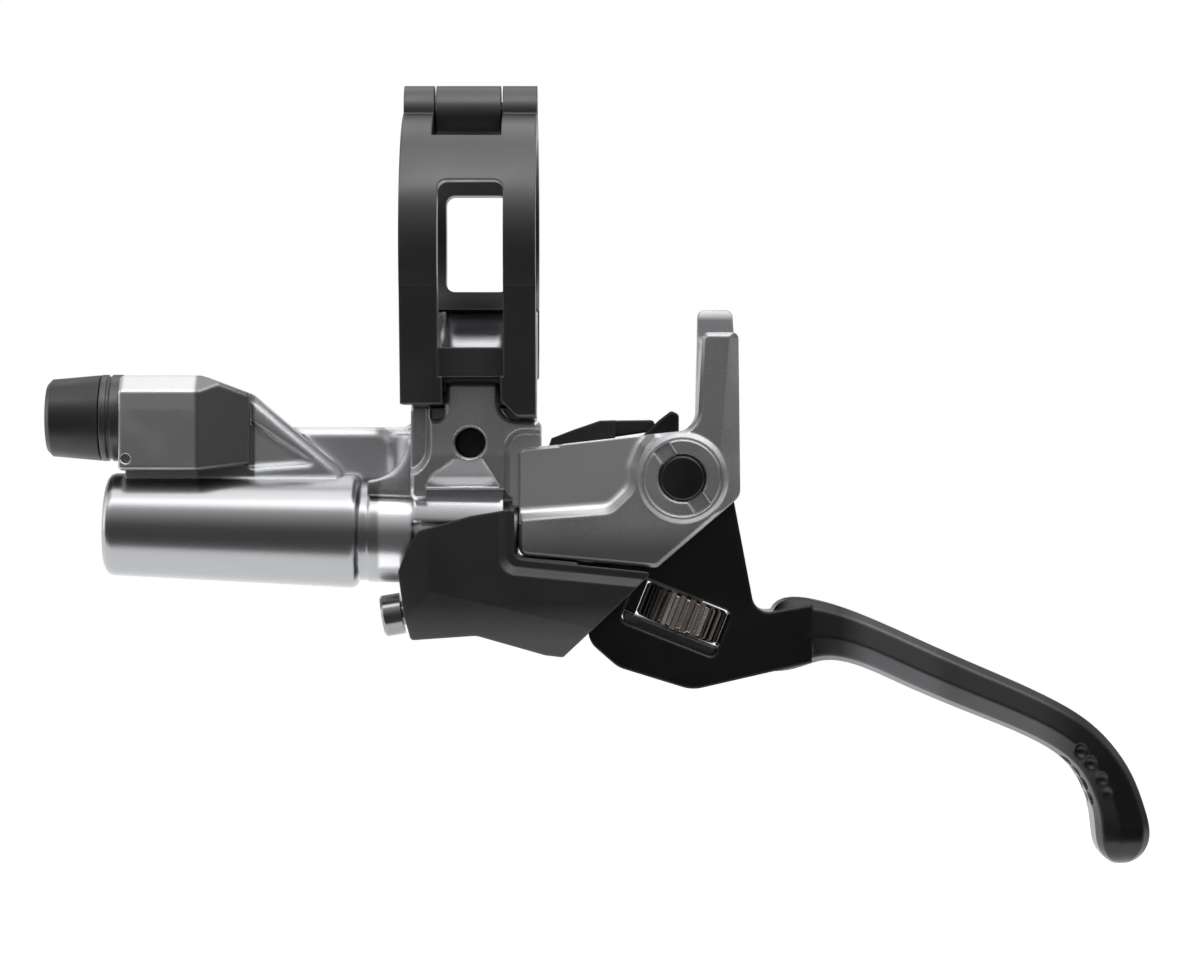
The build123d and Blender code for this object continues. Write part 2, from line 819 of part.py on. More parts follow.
def lever_body():
    """Cast and machined body: block, cylinder, hose port, reservoir and side plates."""
    body = cylinder_outside()
    body += block_solid()
    body += hose_boss()
    body += oil_web()
    tank = slab(tank_face(0, 2.4), tank_near, tank_rim)
    tank = chamfer(tank.faces().sort_by(Axis.Y)[0].edges(), tank_bevel)
    neck_bottom = -29.0
    tank_neck = outline([
        (tank_right - 4, neck_bottom),
        (tank_right - 4, tank_top),
        (block_left, tank_top, 1.4),
        (block_left, pillar_top),
        (block_left + 1, pillar_top),
        (block_left + 1, neck_bottom),
    ])
    body += tank
    body += slab(tank_neck, tank_near + tank_bevel, block_far)
    tank_blend = outline([
        (block_left - blend_radius - 0.5, tank_near + 1.0),
        (block_left - blend_radius - 0.5, tank_near + tank_bevel),
        (block_left, tank_near + tank_bevel, blend_radius),
        (block_left, tank_near - blend_radius),
        (block_left + 0.5, tank_near - blend_radius),
        (block_left + 0.5, tank_near + 1.0),
    ])
    body += plan(tank_blend, neck_bottom, tank_top - tank_bevel)

    # Side plates, the wall that closes the bay between them, its roof and the brace
    ears = slab(ear_outline(), -ear_outer, ear_outer)
    for end in (0, -1):
        ears = chamfer(ears.faces().sort_by(Axis.Y)[end].edges(), ear_bevel)
    bay = outline([
        (bay_left, -20.0),
        (bay_left, -40.0),
        (40.0, -40.0),
        (40.0, -19.3),
        (15.5, -19.3),
    ])
    bay_room = slab(bay, -ear_inner, ear_inner)
    roof = slab(outline([(7.0, -21.8), (15.5, -21.8), (15.5, -23.6), (7.0, -23.6)]), -ear_inner, ear_inner)
    pocket = ear_pocket()
    pockets = pocket + mirror(pocket, about=Plane.XZ)
    bosses = turned(pivot_axis, [
        (-ear_outer - boss_rise, 0),
        (-ear_outer - boss_rise, pivot_boss_radius),
        (-ear_outer, pivot_boss_radius + boss_flank),
        (ear_outer, pivot_boss_radius + boss_flank),
        (ear_outer + boss_rise, pivot_boss_radius),
        (ear_outer + boss_rise, 0),
    ])
    brace_face = outline([
        (brace_left - 0.2, -19.3),
        (brace_left + 0.1, brace_far_top, 0.8),
        (brace_right - 0.1, brace_far_top, 0.8),
        (brace_right + 0.2, -19.3),
    ])
    brace = slab(brace_face, ear_inner, brace_far)
    brace = chamfer(brace.faces().sort_by(Axis.Y)[0].edges(), ear_bevel)
    ears = ears - brace_edge() + bosses - bay_room + roof + brace
    ears -= post(bar_axis, -bar_reach, bar_reach, bar_radius + bar_clearance)
    body += ears
    body -= pockets
    body -= valley()
    body -= slab(
        outline([(block_right, -16.0), (block_right, -21.2), (16.0, -20.2), (23.4, -19.3), (23.4, -16.0)]),
        -ear_inner,
        ear_inner,
    )

    # Bores
    body -= post(cylinder_axis, -cylinder_length - 1, guide_front, bore_radius)
    body -= post(cylinder_axis, guide_front - 1, 25, rod_radius + 0.3)
    body -= post(hose_axis, boss_left - 1, boss_left + hose_thread_length, hose_thread_radius)
    body -= post(hose_axis, boss_left, boss_left + hose_thread_length + 2.5, hose_radius + hose_gap)
    run_x = boss_left + hose_thread_length + 2.0 - passage_x
    run_z = hose_axis_z - 1.0 - passage_z
    passage = Plane(origin=(passage_x, 0, passage_z), x_dir=(0, 1, 0), z_dir=(run_x, 0, run_z))
    body -= post(passage, 0, math.hypot(run_x, run_z) - 1.4, passage_radius)
    body -= slab(tank_face(tank_wall, 5.0), tank_floor, tank_rim + 1)
    body -= slab(tank_face(tank_wall - 0.3, 5.3), tank_rim - 0.8, tank_rim + 1)
    for place in tank_screw_places():
        body -= post(place, tank_rim - 5, tank_rim + 1, 1.0)
    for x in (piston_front + 0.7, piston_back + 3.2):
        body -= post(across(cylinder_x + x, cylinder_z - x * math.sin(tilt)), 2.0, tank_floor + 1, 0.4)
    body -= post(bolt_axis, block_far - clamp_thread_length - 0.3, block_far + 1, clamp_bolt_radius)
    body -= post(bolt_axis, block_near - 1, block_far, clamp_bolt_radius - 0.25)
    body -= post(anchor_axis, -20, 20, anchor_pin_radius)
    bush_outer = pivot_pin_radius + bush_wall
    body -= post(pivot_axis, -ear_outer - 2, ear_outer + 2, bush_outer)
    for side in (-1, 1):
        low, high = sorted((side * (ear_outer + 2), side * (ear_outer + boss_rise - bush_flange)))
        body -= post(pivot_axis, low, high, bush_flange_radius)
    body -= post(cover_screw_axis, rod_radius + 0.9, cover_half, 1.0)
    body -= post(stroke_axis, 0, 40, stroke_shank_radius + side_gap)
    return body


# Hose fittings

def hose_nut():
    """Union nut of the hose: a plain collar with its thread in the boss."""
    left = boss_left - hose_nut_length
    body = turned(hose_axis, [
        (left, hose_radius + hose_gap),
        (left, hose_nut_radius),
        (left + 0.6, hose_nut_radius),
        (left + 0.75, hose_nut_radius - 0.2),
        (left + 0.95, hose_nut_radius - 0.2),
        (left + 1.1, hose_nut_radius),
        (boss_left, hose_nut_radius),
        (boss_left, hose_thread_radius),
        (boss_left + hose_thread_length - 2.0, hose_thread_radius),
        (boss_left + hose_thread_length - 2.0, hose_radius + hose_gap),
    ])
    return body


def hose_cover():
    """Tapered sleeve over the mouth of the nut."""
    right = boss_left - hose_nut_length
    left = right - hose_cover_length
    return turned(hose_axis, [
        (left, hose_radius + 0.4),
        (left, hose_cover_tip_radius - 0.5),
        (left + 0.5, hose_cover_tip_radius),
        (right - 0.2, hose_nut_radius - 0.05),
        (right, hose_nut_radius - 0.3),
        (right, hose_radius + 0.4),
    ])


def olive():
    """Brass ring that the nut squeezes on the hose."""
    left = boss_left + hose_thread_length - 2.0
    return turned(hose_axis, [
        (left, hose_radius + hose_gap),
        (left, hose_thread_radius - 0.6),
        (left + 0.6, hose_thread_radius - slide_gap),
        (left + 1.3, hose_thread_radius - slide_gap),
        (left + 1.9, hose_thread_radius - 0.6),
        (left + 1.9, hose_radius + hose_gap),
    ])


# Inside of the cylinder

def cylinder_plug():
    """Plug that closes the blind end of the cylinder."""
    end = -cylinder_length
    plug = turned(cylinder_axis, [
        (end + 0.2, 0),
        (end + 0.2, bore_radius - fit_gap),
        (plug_face, bore_radius - fit_gap),
        (plug_face, 0),
    ])
    return plug - hexagon(cylinder_axis, end - 1, end + 1.2, 4.0)


def piston():
    """Piston with two seal grooves and a seat for the rod's head."""
    outer = bore_radius - fit_gap
    groove = bore_radius - 1.1
    profile = [
        (piston_back, 0),
        (piston_back, outer - 0.3),
        (piston_back + 0.3, outer),
        (piston_back + 1.4, outer),
        (piston_back + 1.4, groove),
        (piston_back + 2.6, groove),
        (piston_back + 2.6, outer),
        (piston_front - 2.4, outer),
        (piston_front - 2.4, groove),
        (piston_front - 1.2, groove),
        (piston_front - 1.2, outer),
        (piston_front, outer),
        (piston_front, 0),
    ]
    body = turned(cylinder_axis, profile)
    return body - post(cylinder_axis, piston_back + 2.0, piston_front + 1, rod_radius)


def piston_seal(start):
    """Rubber ring in a groove of the piston."""
    return ring(
        cylinder_axis, start + 0.05, start + 1.15, bore_radius - 1.1, bore_radius - fit_gap
    )


def piston_spring():
    """Return spring between the piston and the rod guide."""
    free = guide_back - piston_front
    mean = bore_radius - 0.45 - spring_wire
    coil = Helix(pitch=(free - 2 * spring_wire) / spring_turns, height=free - 2 * spring_wire, radius=mean)
    section = Plane(origin=coil @ 0, z_dir=coil % 0) * RegularPolygon(spring_wire, 6)
    wire = sweep(section, path=coil)
    start = Pos(0, 0, piston_front + spring_wire)
    return cylinder_axis * (start * wire)


def rod_guide():
    """Ring that closes the cylinder's mouth and carries the pull rod."""
    guide = ring(cylinder_axis, guide_back, guide_front, rod_radius + fit_gap, bore_radius - fit_gap)
    return guide - post(cylinder_axis, guide_back + 1.0, guide_back + 2.3, rod_radius + 1.0)


def rod_seal():
    """Seal of the pull rod, in the guide."""
    return ring(
        cylinder_axis, guide_back + 1.05, guide_back + 2.25, rod_radius + fit_gap, rod_radius + 1.0
    )


def pull_rod():
    """Rod from the piston to the roller, with an eye at its end."""
    start = piston_back + 2.0
    body = post(cylinder_axis, start, roller_along, rod_radius)
    eye_half = rod_slot_half - 0.15
    eye = post(roller_axis, -eye_half, eye_half, eye_radius)
    return body + eye - post(roller_axis, -5, 5, roller_pin_radius)


def pull_rollers():
    """Two rollers on the ends of the roller pin."""
    near = ring(roller_axis, -arm_half, -rod_slot_half, roller_pin_radius, roller_radius)
    far = ring(roller_axis, rod_slot_half, arm_half, roller_pin_radius, roller_radius)
    return near, far


# Pull arm

def arm_outline():
    """Side view of the arm: hub, heel for the stop screw and foot for the reach screw."""
    pad_left = dial_point(-pad_half, screw_tip + pad_gap)
    pad_right = dial_point(pad_half + 0.3, screw_tip + pad_gap)
    bridge_line = bridge_top + bridge_gap
    heel_back = nose_wall - heel_gap
    return outline([
        (pivot_x - hub_radius, pivot_z),
        (pivot_x - 4.5, pivot_z - 4.2, 1.0),
        (heel_face, roller_z - 1.9, 0.6),
        (heel_face, stroke_heel_z - 1.15, 0.4),
        (dial_point(heel_back, -0.4)[0], stroke_heel_z - 1.15, 0.4),
        dial_point(heel_back, bridge_line),
        dial_point(nose_wall + 0.5, bridge_line),
        dial_point(-2.5, bridge_line),
        (pad_left[0] - 0.6, pad_left[1]),
        pad_right,
        (pivot_x + 4.6, pivot_z - 3.5, 1.2),
        (pivot_x + hub_radius, pivot_z),
    ])


def pull_arm():
    """Arm that turns on the pivot and pulls the rod."""
    arm = slab(arm_outline(), -arm_half, arm_half)
    arm += post(pivot_axis, -arm_half, arm_half, hub_radius)
    arm -= post(pivot_axis, -10, 10, pivot_pin_radius + fit_gap)
    pad_left = dial_point(-pad_half, screw_tip + pad_gap)
    rise = math.tan(math.radians(pull_angle))
    rod_room = rod_radius + side_gap + 0.05
    top = pivot_z - hub_radius - 0.2
    room = outline([
        (heel_face - 2, roller_z + rod_room + (roller_x - heel_face + 2) * rise),
        (heel_face - 2, roller_z - rod_room - 0.4),
        (heel_face + 1.7, roller_z - rod_room - 0.5),
        (heel_face + 2.2, roller_z - 6.0),
        (pad_left[0] - 0.3, roller_z - 6.0),
        (pad_left[0] - 0.3, top),
        (roller_x, top),
        (roller_x, roller_z + rod_room),
    ])
    arm -= slab(room, -rod_slot_half, rod_slot_half)
    arm -= post(roller_axis, -rod_slot_half, rod_slot_half, eye_radius + side_gap + 0.05)
    slope = math.degrees(math.atan2(roller_z - pivot_z, roller_x - pivot_x))
    slot_half = roller_radius + slide_gap
    slot = Pos(roller_x, roller_z) * Rot(0, 0, slope) * SlotOverall(
        2 * (slot_half + roller_slot_play), 2 * slot_half
    )
    return arm - slab(slot, -10, 10)


# Blade

def blade_root():
    """Fork, dial frame and neck of the blade, before the slot is cut."""
    face = outline([
        (pivot_x - blade_hub_radius, pivot_z),
        (17.5, -30.0, 2.0),
        (13.4, -35.2, 1.0),
        (12.4, -38.0, 1.0),
        (12.5, -42.0, 2.4),
        (15.6, -44.7, 3.0),
        (belly_x, belly_z, belly_round),
        (36.0, -44.2),
        (36.0, -38.1),
        (30.05, -39.15, 1.8),
        (pivot_x + 5.0, pivot_z + 0.2, 1.0),
        (pivot_x, pivot_z + 1.0),
    ])
    root = slab(face, -blade_half, blade_half)
    root += post(pivot_axis, -blade_half, blade_half, blade_hub_radius)
    fin = outline([
        (pivot_x - 4.4, pivot_z + 4.2),
        (pivot_x - 2.4, pivot_z + 6.1),
        (pivot_x - 1.1, pivot_z + 7.1, 0.4),
        (pivot_x - 0.3, pivot_z + 6.7, 0.5),
        (pivot_x - 0.3, pivot_z + 3.0),
        (pivot_x - 3.4, pivot_z + 3.0),
    ])
    return root + slab(fin, -blade_half, blade_half)


def finger_section(upper, lower, half, scale=1.0):
    """Cross-section of the finger part, between a point of its upper and lower edge."""
    run_x = lower[0] - upper[0]
    run_z = lower[1] - upper[1]
    depth = math.hypot(run_x, run_z)
    middle = ((upper[0] + lower[0]) / 2, (upper[1] + lower[1]) / 2)
    place = Plane(
        origin=(middle[0], 0, middle[1]),
        x_dir=(0, 1, 0),
        z_dir=(run_z / depth, 0, -run_x / depth),
    )
    shape = [(0.50, -0.50), (0.84, -0.40), (1.0, -0.07), (0.92, 0.36), (0.70, 0.50), (0.30, 0.46)]
    near = [(half * scale * y, -depth * scale * v) for y, v in shape]
    far = [(-y, v) for y, v in reversed(near)]
    return place * make_face(Polyline(*near, *far, close=True))


finger_stations = [
    ((32.0, -38.7), (31.5, -45.2), 4.45),
    ((37.3, -37.9), (36.9, -44.15), 4.6),
    ((41.8, -39.4), (40.3, -44.4), 4.8),
    ((47.5, -41.9), (45.6, -46.6), 4.95),
    ((55.0, -45.2), (53.0, -49.7), 5.1),
    ((61.6, -48.2), (59.2, -52.3), 5.1),
    ((66.2, -51.3), (62.9, -54.6), 5.0),
    ((69.4, -55.3), (64.8, -57.1), 4.8),
    ((71.1, -59.3), (65.9, -60.2), 4.5),
    ((71.75, -62.4), (66.15, -62.4), 4.2),
]
tip_length = 3.35

# Inner edge of the hook, where the dimples lie
dimple_line = [(62.9, -54.6), (64.8, -57.1), (65.9, -60.2)]
dimple_radius = 0.85
dimple_side_inset = 1.7


def finger():
    """Finger part of the blade, lofted through its sections to a rounded tip."""
    sections = [
        finger_section(upper, lower, half * finger_half / 5.1)
        for upper, lower, half in finger_stations
    ]
    upper, lower, half = finger_stations[-1]
    for step in (0.35, 0.65, 0.87, 0.97):
        scale = math.sqrt(1 - step * step)
        drop = tip_length * step
        sections.append(finger_section(
            (upper[0] - 0.1 * step, upper[1] - drop),
            (lower[0] + 0.1 * step, lower[1] - drop),
            half * finger_half / 5.1,
            scale,
        ))
    return loft(sections)


def dimple_places():
    """Centres of the grip dimples on the inner face and the lower sides of the hook."""
    places = []
    for low, high in zip(dimple_line, dimple_line[1:]):
        for part in (0.0, 0.5):
            x = low[0] + part * (high[0] - low[0])
            z = low[1] + part * (high[1] - low[1])
            run = math.hypot(high[0] - low[0], high[1] - low[1])
            out_x = (high[1] - low[1]) / run
            out_z = -(high[0] - low[0]) / run
            for y, lift in ((0.0, 0.45), (2.45, 0.1), (-2.45, 0.1)):
                places.append(Pos(x + lift * out_x, y, z + lift * out_z))
            for y in (-finger_half, finger_half):
                places.append(Pos(x - dimple_side_inset * out_x, y, z - dimple_side_inset * out_z))
    return places


def lever_blade():
    """Forked blade with the dial window, its screw bridge and the hooked finger part."""
    blade = blade_root() + finger()
    slot_left = dial_point(nose_wall, bridge_top)
    slot_low = dial_point(nose_wall, -1.6)
    slot_right = dial_point(6.3, bridge_top)
    room = outline([
        (5.0, slot_low[1]),
        slot_low,
        slot_left,
        slot_right,
        (40.0, slot_right[1]),
        (40.0, -10.0),
        (5.0, -10.0),
    ])
    boss = dial_slab(outline([(-1.8, 0), (-1.8, 4.5), (1.8, 4.5), (1.8, 0)]), -1.9, 1.9)
    blade -= slab(room, -arm_half - side_gap, arm_half + side_gap)
    blade += boss
    window = outline([
        (window_near_end, window_low),
        (window_near_end, window_high),
        (window_far_end, window_high),
        (window_far_end, window_low),
    ], 0.7)
    blade -= dial_slab(window, -10, 10)
    web_right = -dial_radius - slide_gap
    web_low = -dial_thickness / 2
    web = outline([
        (window_near_end - 0.3, web_low),
        (window_near_end - 0.3, window_high + 0.3),
        (web_right, window_high + 0.3),
        (web_right, web_low),
    ])
    blade += dial_slab(web, -window_web_half, window_web_half)
    for place in dimple_places():
        blade -= place * Sphere(dimple_radius)
    blade -= post(dial_axis, 0, 8, screw_radius)
    blade -= post(cylinder_axis, 10, 34, rod_radius + 0.65)
    blade -= post(pivot_axis, -10, 10, pivot_pin_radius + fit_gap + bush_wall)
    return blade


def blade_bushes():
    """Plastic bushes in the two cheeks of the fork."""
    inner = pivot_pin_radius + fit_gap
    low = arm_half + side_gap
    near = ring(pivot_axis, -blade_half, -low, inner, inner + bush_wall)
    far = ring(pivot_axis, low, blade_half, inner, inner + bush_wall)
    return near, far


def reach_dial():
    """Toothed thumb wheel that sets the reach."""
    half = dial_thickness / 2
    pitch = 360 / dial_teeth
    profile = []
    for tooth in range(dial_teeth):
        for offset, radius in (
            (-0.28, dial_radius - tooth_depth),
            (-0.10, dial_radius),
            (0.22, dial_radius),
            (0.30, dial_radius - tooth_depth),
        ):
            angle = math.radians((tooth + offset) * pitch)
            profile.append((radius * math.cos(angle), radius * math.sin(angle)))
    face = make_face(Polyline(*profile, close=True))
    wheel = extrude(Plane.XY.offset(-half) * face, amount=dial_thickness)
    bevel = turned(Plane.XY, [
        (-half, 0),
        (-half, dial_radius - 0.35),
        (-half + 0.3, dial_radius),
        (half - 0.3, dial_radius),
        (half, dial_radius - 0.35),
        (half, 0),
    ])
    bore = post(Plane.XY, -10, 10, screw_radius)
    return dial_axis * ((wheel & bevel) - bore)


def reach_screw():
    """Threaded pin that the dial feeds towards the foot of the arm."""
    start = -dial_thickness / 2 + 0.3
    return turned(dial_axis, [
        (start, 0),
        (start, screw_radius),
        (screw_tip - 0.5, screw_radius),
        (screw_tip, screw_radius - 0.4),
        (screw_tip, 0),
    ])


def detent_plate():
    """Plate below the dial that gives it its clicks."""
    face = outline([
        (window_near_end + 0.15, window_low + 0.15, 0.5),
        (window_near_end + 0.15, -dial_thickness / 2 - seam_gap),
        (window_far_end - 0.15, -dial_thickness / 2 - seam_gap),
        (window_far_end - 0.15, window_low + 0.15, 0.5),
    ])
    return dial_slab(face, -blade_half + 0.3, blade_half - 0.3)


# Cover and free-stroke screw

def cover_form(inset, half):
    """Cross-section of the cover along its crease, tapered inwards at the bottom."""
    slope = math.atan2(-4.17, 18.24)
    place = Plane(
        origin=(-12.0, 0, -34.75),
        x_dir=(0, 1, 0),
        z_dir=(math.cos(slope), 0, math.sin(slope)),
    )
    taper = outline([
        (-half, 15.0),
        (-half, 0.0),
        (-half + 2.0 , -6.0),
        (half - 2.0, -6.0),
        (half, 0.0),
        (half, 15.0),
    ])
    form = extrude(place * taper, amount=40)
    top = outline([
        (-7.6 + inset, -half + 1.6),
        (-4.2, -half),
        (24.0, -half),
        (24.0, half),
        (-4.2, half),
        (-7.6 + inset, half - 1.6),
    ])
    return form & plan(top, cover_low, cover_high)


def mechanism_cover():
    """Moulded cover round the neck, open towards the blade."""
    outer = outline([
        (-6.42, -32.1, 0.5),
        (-5.27, -30.3, 0.8),
        (0.15, -28.75),
        (4.75, -28.0, 0.5),
        (4.75, -33.2, 1.0),
        (19.2, -34.65, 0.3),
        (9.84, -43.56, 0.4),
        (7.97, -43.35, 1.0),
        (0.77, -41.3, 2.0),
        (-6.11, -41.8, 0.4),
        (-6.84, -39.1, 0.6),
        (-7.46, -34.6, 1.0),
    ])
    inner = outline([
        (-6.0, -26.0),
        (-6.0, -34.5, 0.8),
        (-5.5, -39.0, 0.6),
        (-5.0, -40.5, 0.4),
        (0.9, -40.0, 2.0),
        (8.2, -42.05, 1.0),
        (12.0, -42.3),
        (30.0, -42.3),
        (30.0, -26.0),
    ])
    shell = slab(outer, -cover_half, cover_half) & cover_form(0, cover_half)
    shell -= slab(inner, -cover_half, cover_half) & cover_form(
        cover_wall, cover_half - cover_wall
    )
    lip_rim = outline([
        (lip_left - 0.8, -26.0),
        (lip_left - 0.8, lip_low - 0.75, 1.9),
        (24.0, lip_low - 2.75),
        (24.0, -26.0),
    ])
    lip_floor = outline([
        (lip_left, -26.0),
        (lip_left, lip_low, 1.4),
        (24.0, lip_low - 2.0),
        (24.0, -26.0),
    ])
    shelf_low = lip_low - 0.35
    shelf = outline([
        (bay_left + side_gap, lip_low + 1.3),
        (shelf_right, lip_low + 1.2),
        (shelf_right, shelf_low),
        (bay_left + side_gap, shelf_low),
    ])
    shell += slab(shelf, -ear_inner + side_gap, ear_inner - side_gap)
    shelf_edge = outline([
        (lip_left + 1.1, lip_low + 0.95),
        (shelf_right, lip_low + 0.4),
        (shelf_right, shelf_low),
        (lip_left + 1.1, shelf_low),
    ])
    shell += slab(shelf_edge, -cover_half + 0.9, cover_half - 0.9)
    lip = sunk(lip_rim, lip_floor, -cover_half, cover_half - ear_outer)
    shell -= lip + mirror(lip, about=Plane.XZ)
    block_room = outline([
        (block_left - seam_gap, block_bottom - seam_gap),
        (block_left - seam_gap, shoulder_z),
        (block_right + seam_gap, shoulder_z),
        (block_right + seam_gap, block_bottom - seam_gap),
    ])
    shell -= slab(block_room, block_near - seam_gap, block_far + seam_gap)
    shell += post(stroke_axis, stroke_head_sink + 0.5, 6.5, stroke_shank_radius + 1.1)
    shell -= post(stroke_axis, -4, 40, stroke_shank_radius)
    shell -= post(stroke_axis, -4, stroke_head_sink + 0.2, stroke_head_radius + 0.25)
    shell -= post(cylinder_axis, -5, 12.0, neck_radius + 0.15)
    seat = post(cover_screw_axis, neck_radius + 0.15, cover_half - 0.6, 2.6)
    shell += seat
    shell -= post(cover_screw_axis, 0, cover_half + 1, 1.0 + slide_gap)
    shell -= post(cover_screw_axis, cover_half - 0.6, cover_half + 1, 2.1 + slide_gap)
    return shell


def cover_screw():
    """Screw that holds the cover to the neck, from the far side."""
    seat = cover_half - 0.6
    body = turned(cover_screw_axis, [
        (rod_radius + 1.2, 0),
        (rod_radius + 1.2, 1.0),
        (seat, 1.0),
        (seat, 2.1),
        (seat + 1.0, 2.1),
        (seat + 1.4, 1.6),
        (seat + 1.4, 0),
    ])
    return body - hexagon(cover_screw_axis, seat + 0.6, seat + 3, 1.5)


def free_stroke_screw():
    """Adjusting screw whose tip stops the arm's heel."""
    turn = math.radians(stroke_tilt)
    tip = (heel_face - stroke_x) / math.cos(turn) - 0.35
    head = turned(stroke_axis, [
        (-stroke_head_length, 0),
        (-stroke_head_length, stroke_head_radius - 0.25),
        (-stroke_head_length + 0.25, stroke_head_radius),
        (stroke_head_sink, stroke_head_radius),
        (stroke_head_sink, stroke_shank_radius),
        (tip - 0.6, stroke_shank_radius),
        (tip, stroke_shank_radius - 0.5),
        (tip, 0),
    ])
    return head - hexagon(stroke_axis, -stroke_head_length - 1, -stroke_head_length + 1.0, 2.0)


# Pivot hardware

def pivot_pin():
    """Pivot of the arm and the blade, with a groove for its clip."""
    end = ear_outer + 0.4
    groove = end + 0.25
    return turned(pivot_axis, [
        (-end - 0.15, 0),
        (-end - 0.15, pivot_pin_radius - 0.2),
        (-end + 0.05, pivot_pin_radius),
        (groove, pivot_pin_radius),
        (groove, pivot_pin_radius - 0.4),
        (groove + 0.7, pivot_pin_radius - 0.4),
        (groove + 0.7, pivot_pin_radius),
        (groove + 1.2, pivot_pin_radius - 0.3),
        (groove + 1.2, 0),
    ])


def pivot_clip():
    """Snap ring in the groove of the pivot."""
    low = ear_outer + 0.4 + 0.3
    clip = ring(pivot_axis, low, low + 0.6, pivot_pin_radius - 0.35, pivot_pin_radius + 1.2)
    gap = slab(Pos(pivot_x, pivot_z - 3) * Rectangle(1.8, 6), low - 1, low + 2)
    return clip - gap


def pivot_bush(side):
    """Flanged bush pressed into one side plate."""
    flange_out = ear_outer + boss_rise
    flange_in = flange_out - bush_flange
    inner = pivot_pin_radius + 0.02
    outer = pivot_pin_radius + bush_wall
    bush = turned(pivot_axis, [
        (ear_inner, inner),
        (ear_inner, outer),
        (flange_in, outer),
        (flange_in, bush_flange_radius),
        (flange_out, bush_flange_radius),
        (flange_out, inner + 0.25),
        (flange_out - 0.2, inner),
    ])
    notches = Pos(pivot_x, pivot_z) * Rot(0, 0, notch_turn) * Rectangle(
        2 * bush_flange_radius + 1.0, notch_width
    )
    bush -= slab(notches, flange_out - notch_depth, flange_out + 1.0)
    if side < 0:
        bush = mirror(bush, about=Plane.XZ)
    return bush


def dust_shield():
    """Plastic shield over the bay between the side plates."""
    wide = outline([
        (8.2, -21.75),
        (8.6, -20.6),
        (11.0, -19.68),
        (13.7, -18.75),
        (15.3, -18.7),
        (15.3, -21.75),
    ])
    tongue = outline([(14.0, -18.72), (19.5, -18.65, 0.5), (19.5, -19.8), (14.0, -20.6)])
    shield = slab(wide, -ear_inner + 0.15, ear_inner - 0.15)
    return shield + slab(tongue, -arm_half, arm_half)


# Reservoir fittings

def reservoir_lid():
    """Lid of the reservoir."""
    lid = slab(tank_face(0, 2.4), tank_rim, tank_rim + lid_thickness)
    lid = chamfer(lid.faces().sort_by(Axis.Y)[-1].edges(), 0.5)
    for place in tank_screw_places():
        lid -= post(place, tank_rim - 1, tank_rim + 5, 1.0 + slide_gap)
    lid -= post(bleed_axis, tank_rim - 1, tank_rim + 5, 1.5)
    return lid


def reservoir_screws():
    """Corner screws of the lid."""
    screws = []
    seat = tank_rim + lid_thickness
    for place in tank_screw_places():
        screw = turned(place, [
            (tank_rim - 4.5, 0),
            (tank_rim - 4.5, 1.0),
            (seat, 1.0),
            (seat, 1.75),
            (seat + 0.7, 1.6),
            (seat + 1.0, 1.2),
            (seat + 1.0, 0),
        ])
        screws.append(screw - hexagon(place, seat + 0.3, seat + 3, 1.3))
    return screws


def diaphragm():
    """Rubber diaphragm that lets the reservoir breathe."""
    flange = slab(tank_face(tank_wall - 0.2, 5.2), tank_rim - 0.75, tank_rim)
    cup = slab(tank_face(tank_wall + 0.3, 4.8), tank_rim - 3.4, tank_rim - 0.5)
    hollow = slab(tank_face(tank_wall + 1.0, 4.2), tank_rim - 2.7, tank_rim + 1)
    return flange + cup - hollow


def bleed_screw():
    """Bleed screw in the lid."""
    seat = tank_rim + lid_thickness
    screw = turned(bleed_axis, [
        (tank_rim - 0.6, 0),
        (tank_rim - 0.6, 1.5),
        (seat, 1.5),
        (seat, 2.4),
        (seat + 1.0, 2.4),
        (seat + 1.2, 2.2),
        (seat + 1.2, 0),
    ])
    return screw - hexagon(bleed_axis, seat + 0.3, seat + 3, 2.0)


parts = {
    "lever_body": lever_body(),
    "clamp_front_band": clamp_front_band(),
    "clamp_rear_band": clamp_rear_band(),
    "clamp_hinge_pin": clamp_hinge_pin(),
    "clamp_anchor_pin": clamp_anchor_pin(),
    "clamp_bolt": clamp_bolt(),
    "hose_nut": hose_nut(),
    "hose_cover": hose_cover(),
    "olive": olive(),
    "cylinder_plug": cylinder_plug(),
    "piston": piston(),
    "primary_seal": piston_seal(piston_front - 2.4),
    "secondary_seal": piston_seal(piston_back + 1.4),
    "piston_spring": piston_spring(),
    "rod_guide": rod_guide(),
    "rod_seal": rod_seal(),
    "pull_rod": pull_rod(),
    "roller_pin": post(roller_axis, -arm_half, arm_half, roller_pin_radius),
    "pull_rollers": Compound(children=list(pull_rollers())),
    "pull_arm": pull_arm(),
    "lever_blade": lever_blade(),
    "blade_bushes": Compound(children=list(blade_bushes())),
    "reach_dial": reach_dial(),
    "reach_screw": reach_screw(),
    "detent_plate": detent_plate(),
    "mechanism_cover": mechanism_cover(),
    "cover_screw": cover_screw(),
    "free_stroke_screw": free_stroke_screw(),
    "pivot_pin": pivot_pin(),
    "pivot_clip": pivot_clip(),
    "pivot_bush_near": pivot_bush(-1),
    "pivot_bush_far": pivot_bush(1),
    "dust_shield": dust_shield(),
    "reservoir_lid": reservoir_lid(),
    "reservoir_screws": Compound(children=reservoir_screws()),
    "diaphragm": diaphragm(),
    "bleed_screw": bleed_screw(),
}

os.makedirs("parts", exist_ok=True)
for name, shape in parts.items():
    export_step(shape, f"parts/{name}.step")
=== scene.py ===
"""Looks of a hydraulic brake lever for a flat handlebar: finishes, small fittings, studio and camera."""

from __future__ import annotations

import json
import logging
import math
from dataclasses import dataclass
from enum import Enum

import bmesh
import bpy
from mathutils import Matrix, Vector

